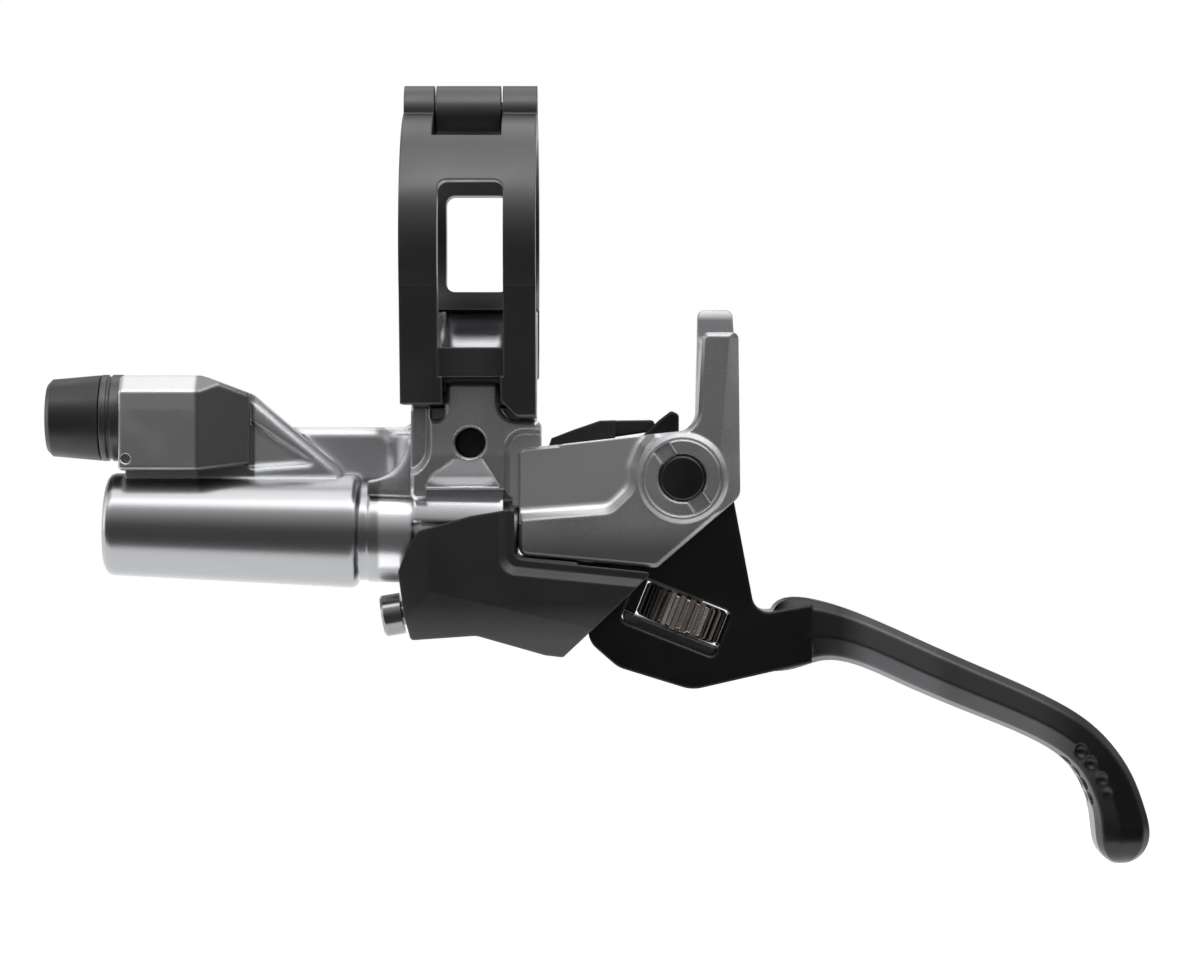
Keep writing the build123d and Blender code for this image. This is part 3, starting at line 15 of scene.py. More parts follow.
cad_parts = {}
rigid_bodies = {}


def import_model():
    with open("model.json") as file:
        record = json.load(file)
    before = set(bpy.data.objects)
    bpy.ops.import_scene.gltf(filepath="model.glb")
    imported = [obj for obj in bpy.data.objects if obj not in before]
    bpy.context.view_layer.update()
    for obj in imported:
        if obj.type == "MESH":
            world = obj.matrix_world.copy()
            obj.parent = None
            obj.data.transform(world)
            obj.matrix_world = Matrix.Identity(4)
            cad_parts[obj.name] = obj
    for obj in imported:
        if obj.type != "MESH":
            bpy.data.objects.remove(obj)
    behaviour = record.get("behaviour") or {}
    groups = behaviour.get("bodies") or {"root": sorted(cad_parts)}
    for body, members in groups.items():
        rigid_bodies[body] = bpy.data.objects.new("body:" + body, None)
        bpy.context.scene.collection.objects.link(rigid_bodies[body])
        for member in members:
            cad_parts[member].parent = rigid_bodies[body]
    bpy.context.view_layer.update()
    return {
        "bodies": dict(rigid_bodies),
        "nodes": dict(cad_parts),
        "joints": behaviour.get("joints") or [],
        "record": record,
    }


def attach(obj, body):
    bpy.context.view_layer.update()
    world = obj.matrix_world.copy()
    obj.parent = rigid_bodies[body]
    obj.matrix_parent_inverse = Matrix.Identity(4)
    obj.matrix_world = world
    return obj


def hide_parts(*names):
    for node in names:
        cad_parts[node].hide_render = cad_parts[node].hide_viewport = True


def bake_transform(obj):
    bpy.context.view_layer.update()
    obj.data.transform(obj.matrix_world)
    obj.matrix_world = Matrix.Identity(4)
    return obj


LOG = logging.getLogger("brake_lever")
MM = 0.001
GRAIN_DEPTH = 0.02 * MM
Triple = tuple[float, float, float]


class Body(Enum):
    """Bodies of the lever that the added pieces ride on."""

    ROOT = "root"
    BLADE = "blade"
    PLUNGER = "plunger"


class Slot(Enum):
    """Material slots of the record that match the added pieces' finishes."""

    BODY_GREY = "body_grey"
    BLACK_PLASTIC = "black_plastic"
    BRIGHT_STEEL = "bright_steel"


# Shader building blocks


class Nodes:
    """Small helper that adds and joins nodes in one tree."""

    def __init__(self, tree: bpy.types.NodeTree) -> None:
        """Keeps the tree that is being built.

        Args:
            tree: A shader, geometry or world node tree.
        """
        self.tree = tree

    def add(self, kind: str, **settings: object) -> bpy.types.Node:
        """Adds a node and sets its plain settings.

        Args:
            kind: Blender's type name of the node.
            settings: Attributes of the node by name.

        Returns:
            The new node.
        """
        node = self.tree.nodes.new(kind)
        for name, value in settings.items():
            setattr(node, name, value)
        return node

    def join(self, source: bpy.types.NodeSocket, target: bpy.types.NodeSocket) -> None:
        """Links one socket to another."""
        self.tree.links.new(source, target)

    def feed(self, socket: bpy.types.NodeSocket, value: object) -> None:
        """Links a socket, or sets it to a plain value.

        Args:
            socket: The input to fill.
            value: Another node's output, a number or a tuple.
        """
        if isinstance(value, bpy.types.NodeSocket):
            self.join(value, socket)
        else:
            socket.default_value = value

    def math(
        self, operation: str, first: object, second: object = 0.0, clamp: bool = False
    ) -> bpy.types.NodeSocket:
        """Adds a Math node.

        Args:
            operation: Name of the operation.
            first: Left value or socket.
            second: Right value or socket.
            clamp: Whether the result stays between 0 and 1.

        Returns:
            The result socket.
        """
        node = self.add("ShaderNodeMath", operation=operation, use_clamp=clamp)
        self.feed(node.inputs[0], first)
        self.feed(node.inputs[1], second)
        return node.outputs[0]

    def remap(
        self, value: object, low: float, high: float, to_low: float, to_high: float
    ) -> bpy.types.NodeSocket:
        """Maps a range of values onto another, clamped.

        Args:
            value: The value to map.
            low: Start of the incoming range.
            high: End of the incoming range.
            to_low: Result at the start.
            to_high: Result at the end.

        Returns:
            The mapped value.
        """
        node = self.add("ShaderNodeMapRange", interpolation_type="SMOOTHSTEP")
        self.feed(node.inputs[0], value)
        for index, number in enumerate((low, high, to_low, to_high), start=1):
            node.inputs[index].default_value = number
        return node.outputs[0]

    def blend(self, factor: object, first: object, second: object) -> bpy.types.NodeSocket:
        """Mixes two colours.

        Args:
            factor: 0 for the first colour, 1 for the second.
            first: Colour or socket.
            second: Colour or socket.

        Returns:
            The mixed colour.
        """
        node = self.add("ShaderNodeMix", data_type="RGBA")
        colours = [socket for socket in node.inputs if socket.type == "RGBA"]
        self.feed(node.inputs[0], factor)
        for socket, value in zip(colours, (first, second)):
            self.feed(socket, value if isinstance(value, bpy.types.NodeSocket) else (*value, 1.0))
        return next(socket for socket in node.outputs if socket.type == "RGBA")

    def level(self, factor: object, first: object, second: object) -> bpy.types.NodeSocket:
        """Mixes two numbers.

        Args:
            factor: 0 for the first number, 1 for the second.
            first: Number or socket.
            second: Number or socket.

        Returns:
            The mixed number.
        """
        node = self.add("ShaderNodeMix", data_type="FLOAT")
        for index, value in enumerate((factor, first, second)):
            self.feed(node.inputs[index if index == 0 else index + 1], value)
        return node.outputs[0]


def new_group(
    name: str, takes: dict[str, tuple[str, object]], gives: dict[str, str]
) -> tuple[Nodes, bpy.types.Node, bpy.types.Node]:
    """Starts a shader node group with named sockets.

    Args:
        name: Name of the group.
        takes: Inputs by name, each a socket type and its first value.
        gives: Outputs by name, each a socket type.

    Returns:
        The node helper, the group's input node and its output node.
    """
    tree = bpy.data.node_groups.new(name, "ShaderNodeTree")
    for label, (kind, value) in takes.items():
        socket = tree.interface.new_socket(name=label, in_out="INPUT", socket_type=kind)
        socket.default_value = value
    for label, kind in gives.items():
        tree.interface.new_socket(name=label, in_out="OUTPUT", socket_type=kind)
    nodes = Nodes(tree)
    return nodes, nodes.add("NodeGroupInput"), nodes.add("NodeGroupOutput")


class SurfaceGroups:
    """Shader node groups that the finishes share, each built once."""

    def __init__(self) -> None:
        """Builds the groups."""
        self.edge = self._soft_edge()
        self.grain = self._fine_grain()
        self.handling = self._handling()
        self.zone = self._box_zone()

    @staticmethod
    def _soft_edge() -> bpy.types.NodeTree:
        """Rounded normal at edges, and a mask that is 1 where an edge is.

        Returns:
            The node group.
        """
        nodes, takes, gives = new_group(
            "soft_edge",
            {"Radius": ("NodeSocketFloat", 0.0003), "Sharpness": ("NodeSocketFloat", 3.0)},
            {"Edge": "NodeSocketFloat", "Normal": "NodeSocketVector"},
        )
        bevel = nodes.add("ShaderNodeBevel", samples=6)
        nodes.join(takes.outputs["Radius"], bevel.inputs["Radius"])
        geometry = nodes.add("ShaderNodeNewGeometry")
        dot = nodes.add("ShaderNodeVectorMath", operation="DOT_PRODUCT")
        nodes.join(bevel.outputs[0], dot.inputs[0])
        nodes.join(geometry.outputs["Normal"], dot.inputs[1])
        turned = nodes.math("SUBTRACT", 1.0, dot.outputs["Value"], clamp=True)
        mask = nodes.math("MULTIPLY", turned, takes.outputs["Sharpness"], clamp=True)
        nodes.join(mask, gives.inputs["Edge"])
        nodes.join(bevel.outputs[0], gives.inputs["Normal"])
        return nodes.tree

    @staticmethod
    def _fine_grain() -> bpy.types.NodeTree:
        """Speckle of a blasted or moulded surface, as a value and as a height.

        Returns:
            The node group.
        """
        nodes, takes, gives = new_group(
            "fine_grain",
            {"Scale": ("NodeSocketFloat", 9000.0)},
            {"Speckle": "NodeSocketFloat", "Height": "NodeSocketFloat"},
        )
        place = nodes.add("ShaderNodeTexCoord")
        noise = nodes.add("ShaderNodeTexNoise")
        noise.inputs["Detail"].default_value = 2.0
        noise.inputs["Roughness"].default_value = 0.6
        nodes.join(place.outputs["Object"], noise.inputs["Vector"])
        nodes.join(takes.outputs["Scale"], noise.inputs["Scale"])
        speckle = nodes.remap(noise.outputs[0], 0.3, 0.7, 0.0, 1.0)
        nodes.join(speckle, gives.inputs["Speckle"])
        nodes.join(noise.outputs[0], gives.inputs["Height"])
        return nodes.tree

    @staticmethod
    def _handling() -> bpy.types.NodeTree:
        """Broad, faint variation that touch and polishing leave.

        Returns:
            The node group.
        """
        nodes, takes, gives = new_group(
            "handling", {"Scale": ("NodeSocketFloat", 140.0)}, {"Cloud": "NodeSocketFloat"}
        )
        place = nodes.add("ShaderNodeTexCoord")
        noise = nodes.add("ShaderNodeTexNoise")
        noise.inputs["Detail"].default_value = 3.0
        nodes.join(place.outputs["Object"], noise.inputs["Vector"])
        nodes.join(takes.outputs["Scale"], noise.inputs["Scale"])
        nodes.join(nodes.remap(noise.outputs[0], 0.35, 0.65, 0.0, 1.0), gives.inputs["Cloud"])
        return nodes.tree

    @staticmethod
    def _box_zone() -> bpy.types.NodeTree:
        """Mask that is 1 inside a box and falls to 0 over a soft rim outside it.

        Returns:
            The node group.
        """
        nodes, takes, gives = new_group(
            "box_zone",
            {
                "Low": ("NodeSocketVector", (0.0, 0.0, 0.0)),
                "High": ("NodeSocketVector", (0.0, 0.0, 0.0)),
                "Soft": ("NodeSocketFloat", 0.0004),
            },
            {"Mask": "NodeSocketFloat"},
        )
        place = nodes.add("ShaderNodeTexCoord").outputs["Object"]
        above = nodes.add("ShaderNodeVectorMath", operation="SUBTRACT")
        below = nodes.add("ShaderNodeVectorMath", operation="SUBTRACT")
        inside = nodes.add("ShaderNodeVectorMath", operation="MINIMUM")
        for node, first, second in (
            (above, place, takes.outputs["Low"]),
            (below, takes.outputs["High"], place),
            (inside, above.outputs[0], below.outputs[0]),
        ):
            nodes.join(first, node.inputs[0])
            nodes.join(second, node.inputs[1])
        parts = nodes.add("ShaderNodeSeparateXYZ")
        nodes.join(inside.outputs[0], parts.inputs[0])
        least = nodes.math("MINIMUM", parts.outputs[0], parts.outputs[1])
        least = nodes.math("MINIMUM", least, parts.outputs[2])
        ramp = nodes.math("ADD", nodes.math("DIVIDE", least, takes.outputs["Soft"]), 1.0, clamp=True)
        nodes.join(ramp, gives.inputs["Mask"])
        return nodes.tree


@dataclass(frozen=True)
class Zone:
    """Box of the frame, in mm, in which a finish has another tone, gloss and edge rounding; some of these
    tones are painted highlights and painted shade.
    """

    low: Triple
    high: Triple
    colour: Triple
    roughness: float
    rounding: float = 0.35
    soft: float = 0.4


def start_material(name: str) -> tuple[bpy.types.Material, Nodes, bpy.types.Node]:
    """Makes an empty material with its surface shader.

    Args:
        name: Name of the material.

    Returns:
        The material, its node helper and the Principled shader.
    """
    material = bpy.data.materials.new(name)
    material.use_nodes = True
    material.node_tree.nodes.clear()
    nodes = Nodes(material.node_tree)
    shader = nodes.add("ShaderNodeBsdfPrincipled")
    output = nodes.add("ShaderNodeOutputMaterial")
    nodes.join(shader.outputs[0], output.inputs[0])
    return material, nodes, shader


@dataclass(frozen=True)
class Finish:
    """A surface finish: colour, gloss, grain and what its edges look like."""

    name: str
    colour: Triple
    metallic: float
    roughness: float
    roughness_spread: float = 0.06
    # Lighter colour along every edge: partly edge wear, partly a painted highlight.
    edge_wear_and_highlight: Triple | None = None
    edge_roughness: float = 0.2
    edge_radius: float = 0.3
    grain_scale: float = 9000.0
    grain_strength: float = 0.12
    grain_shade: float = 0.10
    specular: float = 0.5
    zones: tuple[Zone, ...] = ()

    def build(self, groups: SurfaceGroups) -> bpy.types.Material:
        """Makes the material.

        Args:
            groups: The shared shader groups.

        Returns:
            The finished material.
        """
        material, nodes, shader = start_material(self.name)
        edge = nodes.add("ShaderNodeGroup", node_tree=groups.edge)
        grain = nodes.add("ShaderNodeGroup", node_tree=groups.grain)
        grain.inputs["Scale"].default_value = self.grain_scale
        cloud = nodes.add("ShaderNodeGroup", node_tree=groups.handling)
        dark = tuple(channel * (1 - self.grain_shade) for channel in self.colour)
        light = tuple(min(1.0, channel * (1 + self.grain_shade)) for channel in self.colour)
        speckled = nodes.blend(grain.outputs["Speckle"], dark, light)
        low = self.roughness - self.roughness_spread
        high = self.roughness + self.roughness_spread
        rough = nodes.remap(cloud.outputs["Cloud"], 0.0, 1.0, low, high)
        radius: object = self.edge_radius * MM
        # Each zone sets its own tone and gloss; several of these tones are painted highlights and painted
        # shade.
        for zone in self.zones:
            mask = self._mask(nodes, groups, zone)
            speckled = nodes.blend(mask, speckled, zone.colour)
            rough = nodes.level(mask, rough, zone.roughness)
            radius = nodes.level(mask, radius, zone.rounding * MM)
        nodes.feed(edge.inputs["Radius"], radius)
        # Edges take the lighter edge colour: partly edge wear, partly a painted highlight.
        edged = nodes.blend(edge.outputs["Edge"], speckled, self.edge_wear_and_highlight or light)
        nodes.join(edged, shader.inputs["Base Color"])
        worn = nodes.level(edge.outputs["Edge"], rough, self.edge_roughness)
        nodes.join(worn, shader.inputs["Roughness"])
        bump = nodes.add("ShaderNodeBump")
        bump.inputs["Strength"].default_value = self.grain_strength
        bump.inputs["Distance"].default_value = GRAIN_DEPTH
        nodes.join(grain.outputs["Height"], bump.inputs["Height"])
        nodes.join(edge.outputs["Normal"], bump.inputs["Normal"])
        nodes.join(bump.outputs[0], shader.inputs["Normal"])
        shader.inputs["Metallic"].default_value = self.metallic
        shader.inputs["Specular IOR Level"].default_value = self.specular
        return material

    @staticmethod
    def _mask(nodes: Nodes, groups: SurfaceGroups, zone: Zone) -> bpy.types.NodeSocket:
        """Places the box group with one zone's corners.

        Args:
            nodes: The material's node helper.
            groups: The shared shader groups.
            zone: The zone.

        Returns:
            The mask of the zone.
        """
        box = nodes.add("ShaderNodeGroup", node_tree=groups.zone)
        box.inputs["Low"].default_value = [value * MM for value in zone.low]
        box.inputs["High"].default_value = [value * MM for value in zone.high]
        box.inputs["Soft"].default_value = zone.soft * MM
        return box.outputs["Mask"]


TURNED = Zone((-42.0, -7.0, -38.0), (-9.5, 1.9, -24.6), (0.36, 0.362, 0.37), 0.27)
SADDLE = Zone((-3.7, -12.0, -14.4), (3.7, 10.4, -4.0), (0.66, 0.67, 0.70), 0.24, 0.8)
# Neck zone: lighter, glossier band round the cylinder's neck; partly polish, partly a painted highlight
# where the block's overhang shades it.
NECK_POLISH_AND_HIGHLIGHT = Zone((-9.4, -15.0, -34.0), (4.4, 3.0, -26.0), (0.72, 0.725, 0.74), 0.26, 0.5)
# Valley zone: lighter tone, a painted highlight on the face between the reservoir shelf and the block.
VALLEY_PAINTED_HIGHLIGHT = Zone((-26.0, -8.0, -24.6), (-6.2, 8.0, -17.0), (0.60, 0.605, 0.62), 0.36, 0.9)
# Fan zone: lighter tone, a painted highlight on the facet below the clamp bolt's hole.
FAN_PAINTED_HIGHLIGHT = Zone((-5.6, -7.8, -26.0), (4.3, -4.4, -22.6), (0.50, 0.50, 0.51), 0.29)
# Pocket zone: lighter tone, a painted highlight in the ear's pocket.
POCKET_PAINTED_HIGHLIGHT = Zone((4.0, -7.0, -28.4), (19.8, -5.6, -15.0), (0.60, 0.60, 0.61), 0.40, 0.35, 0.3)
# Boss crown zone: lighter tone, a painted highlight on the top of the hose boss.
BOSS_CROWN_PAINTED_HIGHLIGHT = Zone((-40.0, -5.4, -17.4), (-29.2, -3.0, -13.5), (0.60, 0.60, 0.61), 0.36)
# Darker tone, painted shade on the hose boss's right facet.
BOSS_SIDE_PAINTED_SHADE = Zone((-28.7, -5.4, -24.5), (-23.0, -0.5, -13.0), (0.20, 0.20, 0.20), 0.38, 0.35, 0.3)
# Ear foot zone: darker tone, painted shade along the ear's lower edge.
EAR_FOOT_PAINTED_SHADE = Zone((4.0, -7.8, -37.0), (27.0, -6.9, -32.5), (0.22, 0.22, 0.225), 0.40, 0.35, 3.0)
# Far prong zone: darker tone, painted shade on the far prong.
FAR_PRONG_PAINTED_SHADE = Zone((23.5, -6.2, -9.4), (29.5, 8.4, -5.5), (0.09, 0.09, 0.093), 0.34, 0.35, 0.8)
CAST_ZONES = (TURNED, SADDLE, NECK_POLISH_AND_HIGHLIGHT, VALLEY_PAINTED_HIGHLIGHT, FAN_PAINTED_HIGHLIGHT, POCKET_PAINTED_HIGHLIGHT, BOSS_CROWN_PAINTED_HIGHLIGHT, BOSS_SIDE_PAINTED_SHADE, EAR_FOOT_PAINTED_SHADE, FAR_PRONG_PAINTED_SHADE)
BAND_SEAM = Zone((-8.5, -15.0, -5.4), (8.5, -9.0, -4.2), (0.009, 0.009, 0.0095), 0.36, 0.02)
UPPER_GLINT = Zone((42.0, -8.0, -50.0), (49.0, 8.0, -36.0), (0.120, 0.121, 0.126), 0.30, 0.5, 3.0)
LOWER_GLINT = Zone((52.0, -8.0, -60.0), (60.0, 8.0, -44.0), (0.090, 0.090, 0.092), 0.32, 0.5, 4.0)
# Cover belly zone: lighter tone, a painted highlight on the cover's lower facets.
COVER_BELLY_PAINTED_HIGHLIGHT = Zone((-7.0, -9.0, -52.0), (14.0, 9.0, -42.0), (0.070, 0.070, 0.072), 0.36, 0.35, 4.0)
CAST_GREY = Finish(
    "cast_grey",
    (0.42, 0.422, 0.43),
    metallic=1.0,
    roughness=0.42,
    roughness_spread=0.03,
    edge_wear_and_highlight=(0.58, 0.59, 0.62),
    edge_roughness=0.16,
    edge_radius=0.35,
    grain_strength=0.10,
    grain_shade=0.16,
    zones=CAST_ZONES,
)
SATIN_BLACK = Finish(
    "satin_black",
    (0.009, 0.009, 0.0095),
    metallic=0.0,
    roughness=0.36,
    roughness_spread=0.04,
    edge_wear_and_highlight=(0.05, 0.05, 0.052),
    edge_roughness=0.30,
    edge_radius=0.3,
    grain_scale=11000.0,
    grain_strength=0.10,
    grain_shade=0.15,
    specular=0.9,
    zones=(BAND_SEAM,),
)
BLADE_BLACK = Finish(
    "blade_black",
    (0.044, 0.044, 0.045),
    metallic=1.0,
    roughness=0.30,
    roughness_spread=0.03,
    edge_wear_and_highlight=(0.055, 0.055, 0.057),
    edge_roughness=0.28,
    edge_radius=0.5,
    grain_scale=12000.0,
    grain_strength=0.08,
    grain_shade=0.12,
    zones=(UPPER_GLINT, LOWER_GLINT),
)
MOULDED_BLACK = Finish(
    "moulded_black",
    (0.008, 0.008, 0.0085),
    metallic=0.0,
    roughness=0.40,
    roughness_spread=0.03,
    edge_wear_and_highlight=(0.02, 0.02, 0.02),
    edge_roughness=0.34,
    edge_radius=0.35,
    grain_scale=8000.0,
    grain_strength=0.16,
    grain_shade=0.15,
    specular=0.6,
    zones=(COVER_BELLY_PAINTED_HIGHLIGHT,),
)
POLISHED_STEEL = Finish(
    "polished_steel",
    (0.26, 0.26, 0.265),
    metallic=1.0,
    roughness=0.20,
    roughness_spread=0.03,
    edge_wear_and_highlight=(0.6, 0.6, 0.6),
    edge_roughness=0.14,
    edge_radius=0.15,
    grain_strength=0.05,
)
DARK_STEEL = Finish(
    "dark_steel",
    (0.05, 0.05, 0.052),
    metallic=1.0,
    roughness=0.34,
    roughness_spread=0.05,
    edge_wear_and_highlight=(0.18, 0.18, 0.18),
    edge_roughness=0.22,
    edge_radius=0.15,
    grain_strength=0.06,
)
BRIGHT_STEEL = Finish(
    "bright_steel",
    (0.52, 0.52, 0.53),
    metallic=1.0,
    roughness=0.24,
    roughness_spread=0.05,
    edge_wear_and_highlight=(0.7, 0.7, 0.7),
    edge_roughness=0.16,
    edge_radius=0.12,
    grain_strength=0.05,
    grain_shade=0.08,
)
DIAL_ALLOY = Finish(
    "dial_alloy",
    (0.58, 0.53, 0.50),
    metallic=1.0,
    roughness=0.24,
    roughness_spread=0.04,
    edge_wear_and_highlight=(0.62, 0.58, 0.54),
    edge_roughness=0.20,
    edge_radius=0.12,
    grain_strength=0.08,
    grain_shade=0.12,
)
SLEEVE_RUBBER = Finish(
    "sleeve_rubber",
    (0.012, 0.012, 0.0125),
    metallic=0.0,
    roughness=0.42,
    roughness_spread=0.04,
    edge_wear_and_highlight=(0.04, 0.04, 0.04),
    edge_roughness=0.40,
    edge_radius=0.25,
    grain_strength=0.15,
    grain_shade=0.12,
)
SEAL_RUBBER = Finish(
    "seal_rubber",
    (0.012, 0.012, 0.012),
    metallic=0.0,
    roughness=0.55,
    roughness_spread=0.05,
    edge_roughness=0.5,
    edge_radius=0.15,
    grain_strength=0.10,
)
OLIVE_BRASS = Finish(
    "olive_brass",
    (0.70, 0.52, 0.24),
    metallic=1.0,
    roughness=0.25,
    roughness_spread=0.05,
    edge_wear_and_highlight=(0.85, 0.70, 0.40),
    edge_radius=0.12,
    grain_strength=0.05,
)


class Workshop:
    """Holds the frame, the finishes and the steps that every sub-assembly shares."""

    def __init__(self, frame: dict) -> None:
        """Builds the shared shader groups; each finish is made on first use.
        """
        self.frame = frame
        self.groups = SurfaceGroups()
        self.made: dict[str, bpy.types.Material] = {}

    def material(self, finish: Finish) -> bpy.types.Material:
        """The material of a finish, made on first use."""
        if finish.name not in self.made:
            self.made[finish.name] = finish.build(self.groups)
        return self.made[finish.name]

    def dress(self, finish: Finish, *names: str) -> None:
        """Gives CAD nodes their finish.

        Args:
            finish: The finish.
            names: Names of the CAD nodes.
        """
        for name in names:
            piece = self.frame["nodes"][name]
            piece.data.materials.clear()
            piece.data.materials.append(self.material(finish))
            LOG.info("dressed %s in %s", name, finish.name)

    def place(self, piece: bpy.types.Object, body: Body, slot: Slot) -> None:
        """Puts a new piece on its body.

        Args:
            piece: The piece, at the origin.
            body: The body that carries it.
            slot: The record's slot of its finish; not used.
        """
        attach(piece, body.value)
        LOG.info("made %s on %s", piece.name, body.value)


# Meshes


def linked(name: str, data: bpy.types.ID) -> bpy.types.Object:
    """Makes an object of some data at the origin and links it to the scene."""
    item = bpy.data.objects.new(name, data)
    bpy.context.scene.collection.objects.link(item)
    return item


def smooth(mesh: bpy.types.Mesh) -> None:
    """Shades every face of a mesh smooth."""
    for polygon in mesh.polygons:
        polygon.use_smooth = True


class RingRow:
    """Geometry Nodes tree that sets one thin ring again and again along an axis, as a thread shows."""

    def __init__(self) -> None:
        """Builds the tree with its named sizes."""
        self.tree = bpy.data.node_groups.new("ring_row", "GeometryNodeTree")
        face = self.tree.interface
        face.new_socket(name="Geometry", in_out="OUTPUT", socket_type="NodeSocketGeometry")
        for name in ("Radius", "Step", "Thickness"):
            face.new_socket(name=name, in_out="INPUT", socket_type="NodeSocketFloat")
        face.new_socket(name="Count", in_out="INPUT", socket_type="NodeSocketInt")
        face.new_socket(name="Material", in_out="INPUT", socket_type="NodeSocketMaterial")
        self._build()

    def _build(self) -> None:
        """Joins the nodes."""
        nodes = Nodes(self.tree)
        takes = nodes.add("NodeGroupInput")
        gives = nodes.add("NodeGroupOutput")
        points = nodes.add("GeometryNodeMeshLine")
        nodes.join(takes.outputs["Count"], points.inputs["Count"])
        offset = nodes.add("ShaderNodeCombineXYZ")
        nodes.join(takes.outputs["Step"], offset.inputs["Z"])
        nodes.join(offset.outputs[0], points.inputs["Offset"])
        path = nodes.add("GeometryNodeCurvePrimitiveCircle")
        path.inputs["Resolution"].default_value = 40
        nodes.join(takes.outputs["Radius"], path.inputs["Radius"])
        profile = nodes.add("GeometryNodeCurvePrimitiveCircle")
        profile.inputs["Resolution"].default_value = 6
        nodes.join(takes.outputs["Thickness"], profile.inputs["Radius"])
        tube = nodes.add("GeometryNodeCurveToMesh")
        nodes.join(path.outputs[0], tube.inputs[0])
        nodes.join(profile.outputs[0], tube.inputs[1])
        scatter = nodes.add("GeometryNodeInstanceOnPoints")
        nodes.join(points.outputs[0], scatter.inputs["Points"])
        nodes.join(tube.outputs[0], scatter.inputs["Instance"])
        real = nodes.add("GeometryNodeRealizeInstances")
        nodes.join(scatter.outputs[0], real.inputs[0])
        paint = nodes.add("GeometryNodeSetMaterial")
        nodes.join(real.outputs[0], paint.inputs["Geometry"])
        nodes.join(takes.outputs["Material"], paint.inputs["Material"])
        nodes.join(paint.outputs[0], gives.inputs[0])

    def make(
        self, name: str, place: Matrix, sizes: dict[str, float], material: bpy.types.Material
    ) -> bpy.types.Object:
        """Makes one plain mesh from the tree.

        Args:
            name: Name of the new piece.
            place: Where the tree's own axes lie in the frame.
            sizes: Values of the tree's inputs by name.
            material: Finish of the piece.

        Returns:
            The piece, at the origin with its place in its mesh.
        """
        holder = linked(name + "_maker", bpy.data.meshes.new(name + "_maker"))
        modifier = holder.modifiers.new("repeat", "NODES")
        modifier.node_group = self.tree
        for item in self.tree.interface.items_tree:
            if item.in_out == "INPUT" and item.name in sizes:
                modifier[item.identifier] = sizes[item.name]
            if item.in_out == "INPUT" and item.name == "Material":
                modifier[item.identifier] = material
        graph = bpy.context.evaluated_depsgraph_get()
        mesh = bpy.data.meshes.new_from_object(holder.evaluated_get(graph))
        mesh.name = name
        mesh.transform(place)
        holder.modifiers.clear()
        bpy.data.objects.remove(holder)
        if not mesh.materials:
            mesh.materials.append(material)
        smooth(mesh)
        return linked(name, mesh)


def prism(
    name: str, sides: list[tuple[float, float]], near: float, far: float, material: bpy.types.Material
) -> bpy.types.Object:
    """Makes a solid from a side view outline between two depths.

    Args:
        name: Name of the piece.
        sides: Corners as (across, up) in mm, in order round the outline.
        near: Depth of its near face in mm.
        far: Depth of its far face in mm.
        material: Its finish.

    Returns:
        The piece, at the origin with its place in its mesh.
    """
    points = [(x * MM, y * MM, z * MM) for y in (near, far) for x, z in sides]
    return closed_piece(name, points, material)


def closed_piece(name: str, points: list[Triple], material: bpy.types.Material) -> bpy.types.Object:
    """Makes a closed mesh between two outlines, with its faces pointing outwards.

    Args:
        name: Name of the piece.
        points: Corners of the first outline and then, in the same order, of the second, in metres.
        material: Its finish.

    Returns:
        The piece, at the origin with its place in its mesh.
    """
    count = len(points) // 2
    faces = [tuple(range(count)), tuple(range(count, 2 * count))]
    faces += [(k, (k + 1) % count, count + (k + 1) % count, count + k) for k in range(count)]
    mesh = bpy.data.meshes.new(name)
    mesh.from_pydata(points, [], faces)
    shell = bmesh.new()
    shell.from_mesh(mesh)
    bmesh.ops.recalc_face_normals(shell, faces=shell.faces)
    shell.to_mesh(mesh)
    shell.free()
    mesh.materials.append(material)
    return linked(name, mesh)


def soften(piece: bpy.types.Object, width: float) -> None:
    """Rounds the sharp edges of a piece.

    Args:
        piece: The piece.
        width: Width of the rounding in mm.
    """
    bevel = piece.modifiers.new("rounding", "BEVEL")
    bevel.width = width * MM
    bevel.segments = 4
    bevel.limit_method = "ANGLE"
    bevel.angle_limit = math.radians(40)
    smooth(piece.data)


def axis_place(point: Vector, direction: Vector) -> Matrix:
    """Matrix whose own Z lies along a direction through a point, both in the frame."""
    return Matrix.Translation(point) @ direction.to_track_quat("Z", "X").to_matrix().to_4x4()


# Sub-assemblies


@dataclass
class BarClamp:
    """Hinged clamp of two black bands, with its pins and bolt."""

    shop: Workshop
    rings: RingRow
    bolt_x: float = 0.1
    bolt_z: float = -21.1
    thread_radius: float = 1.71
    thread_ridge: float = 0.13
    thread_pitch: float = 0.5
    thread_turns: int = 7
    thread_start: float = -6.5

    def build(self) -> None:
        """Dresses the bands and adds the thread that shows in the bolt's open near end."""
        sizes = {
            "Radius": self.thread_radius * MM,
            "Step": self.thread_pitch * MM,
            "Thickness": self.thread_ridge * MM,
            "Count": self.thread_turns,
        }
        start = Vector((self.bolt_x, self.thread_start, self.bolt_z)) * MM
        place = axis_place(start, Vector((0.0, 1.0, 0.0)))
        thread = self.rings.make("bolt_bore_thread", place, sizes, self.shop.material(CAST_GREY))
        self.shop.place(thread, Body.ROOT, Slot.BODY_GREY)
        self.shop.dress(SATIN_BLACK, "clamp_front_band", "clamp_rear_band")
        self.shop.dress(DARK_STEEL, "clamp_hinge_pin", "clamp_anchor_pin", "clamp_bolt")


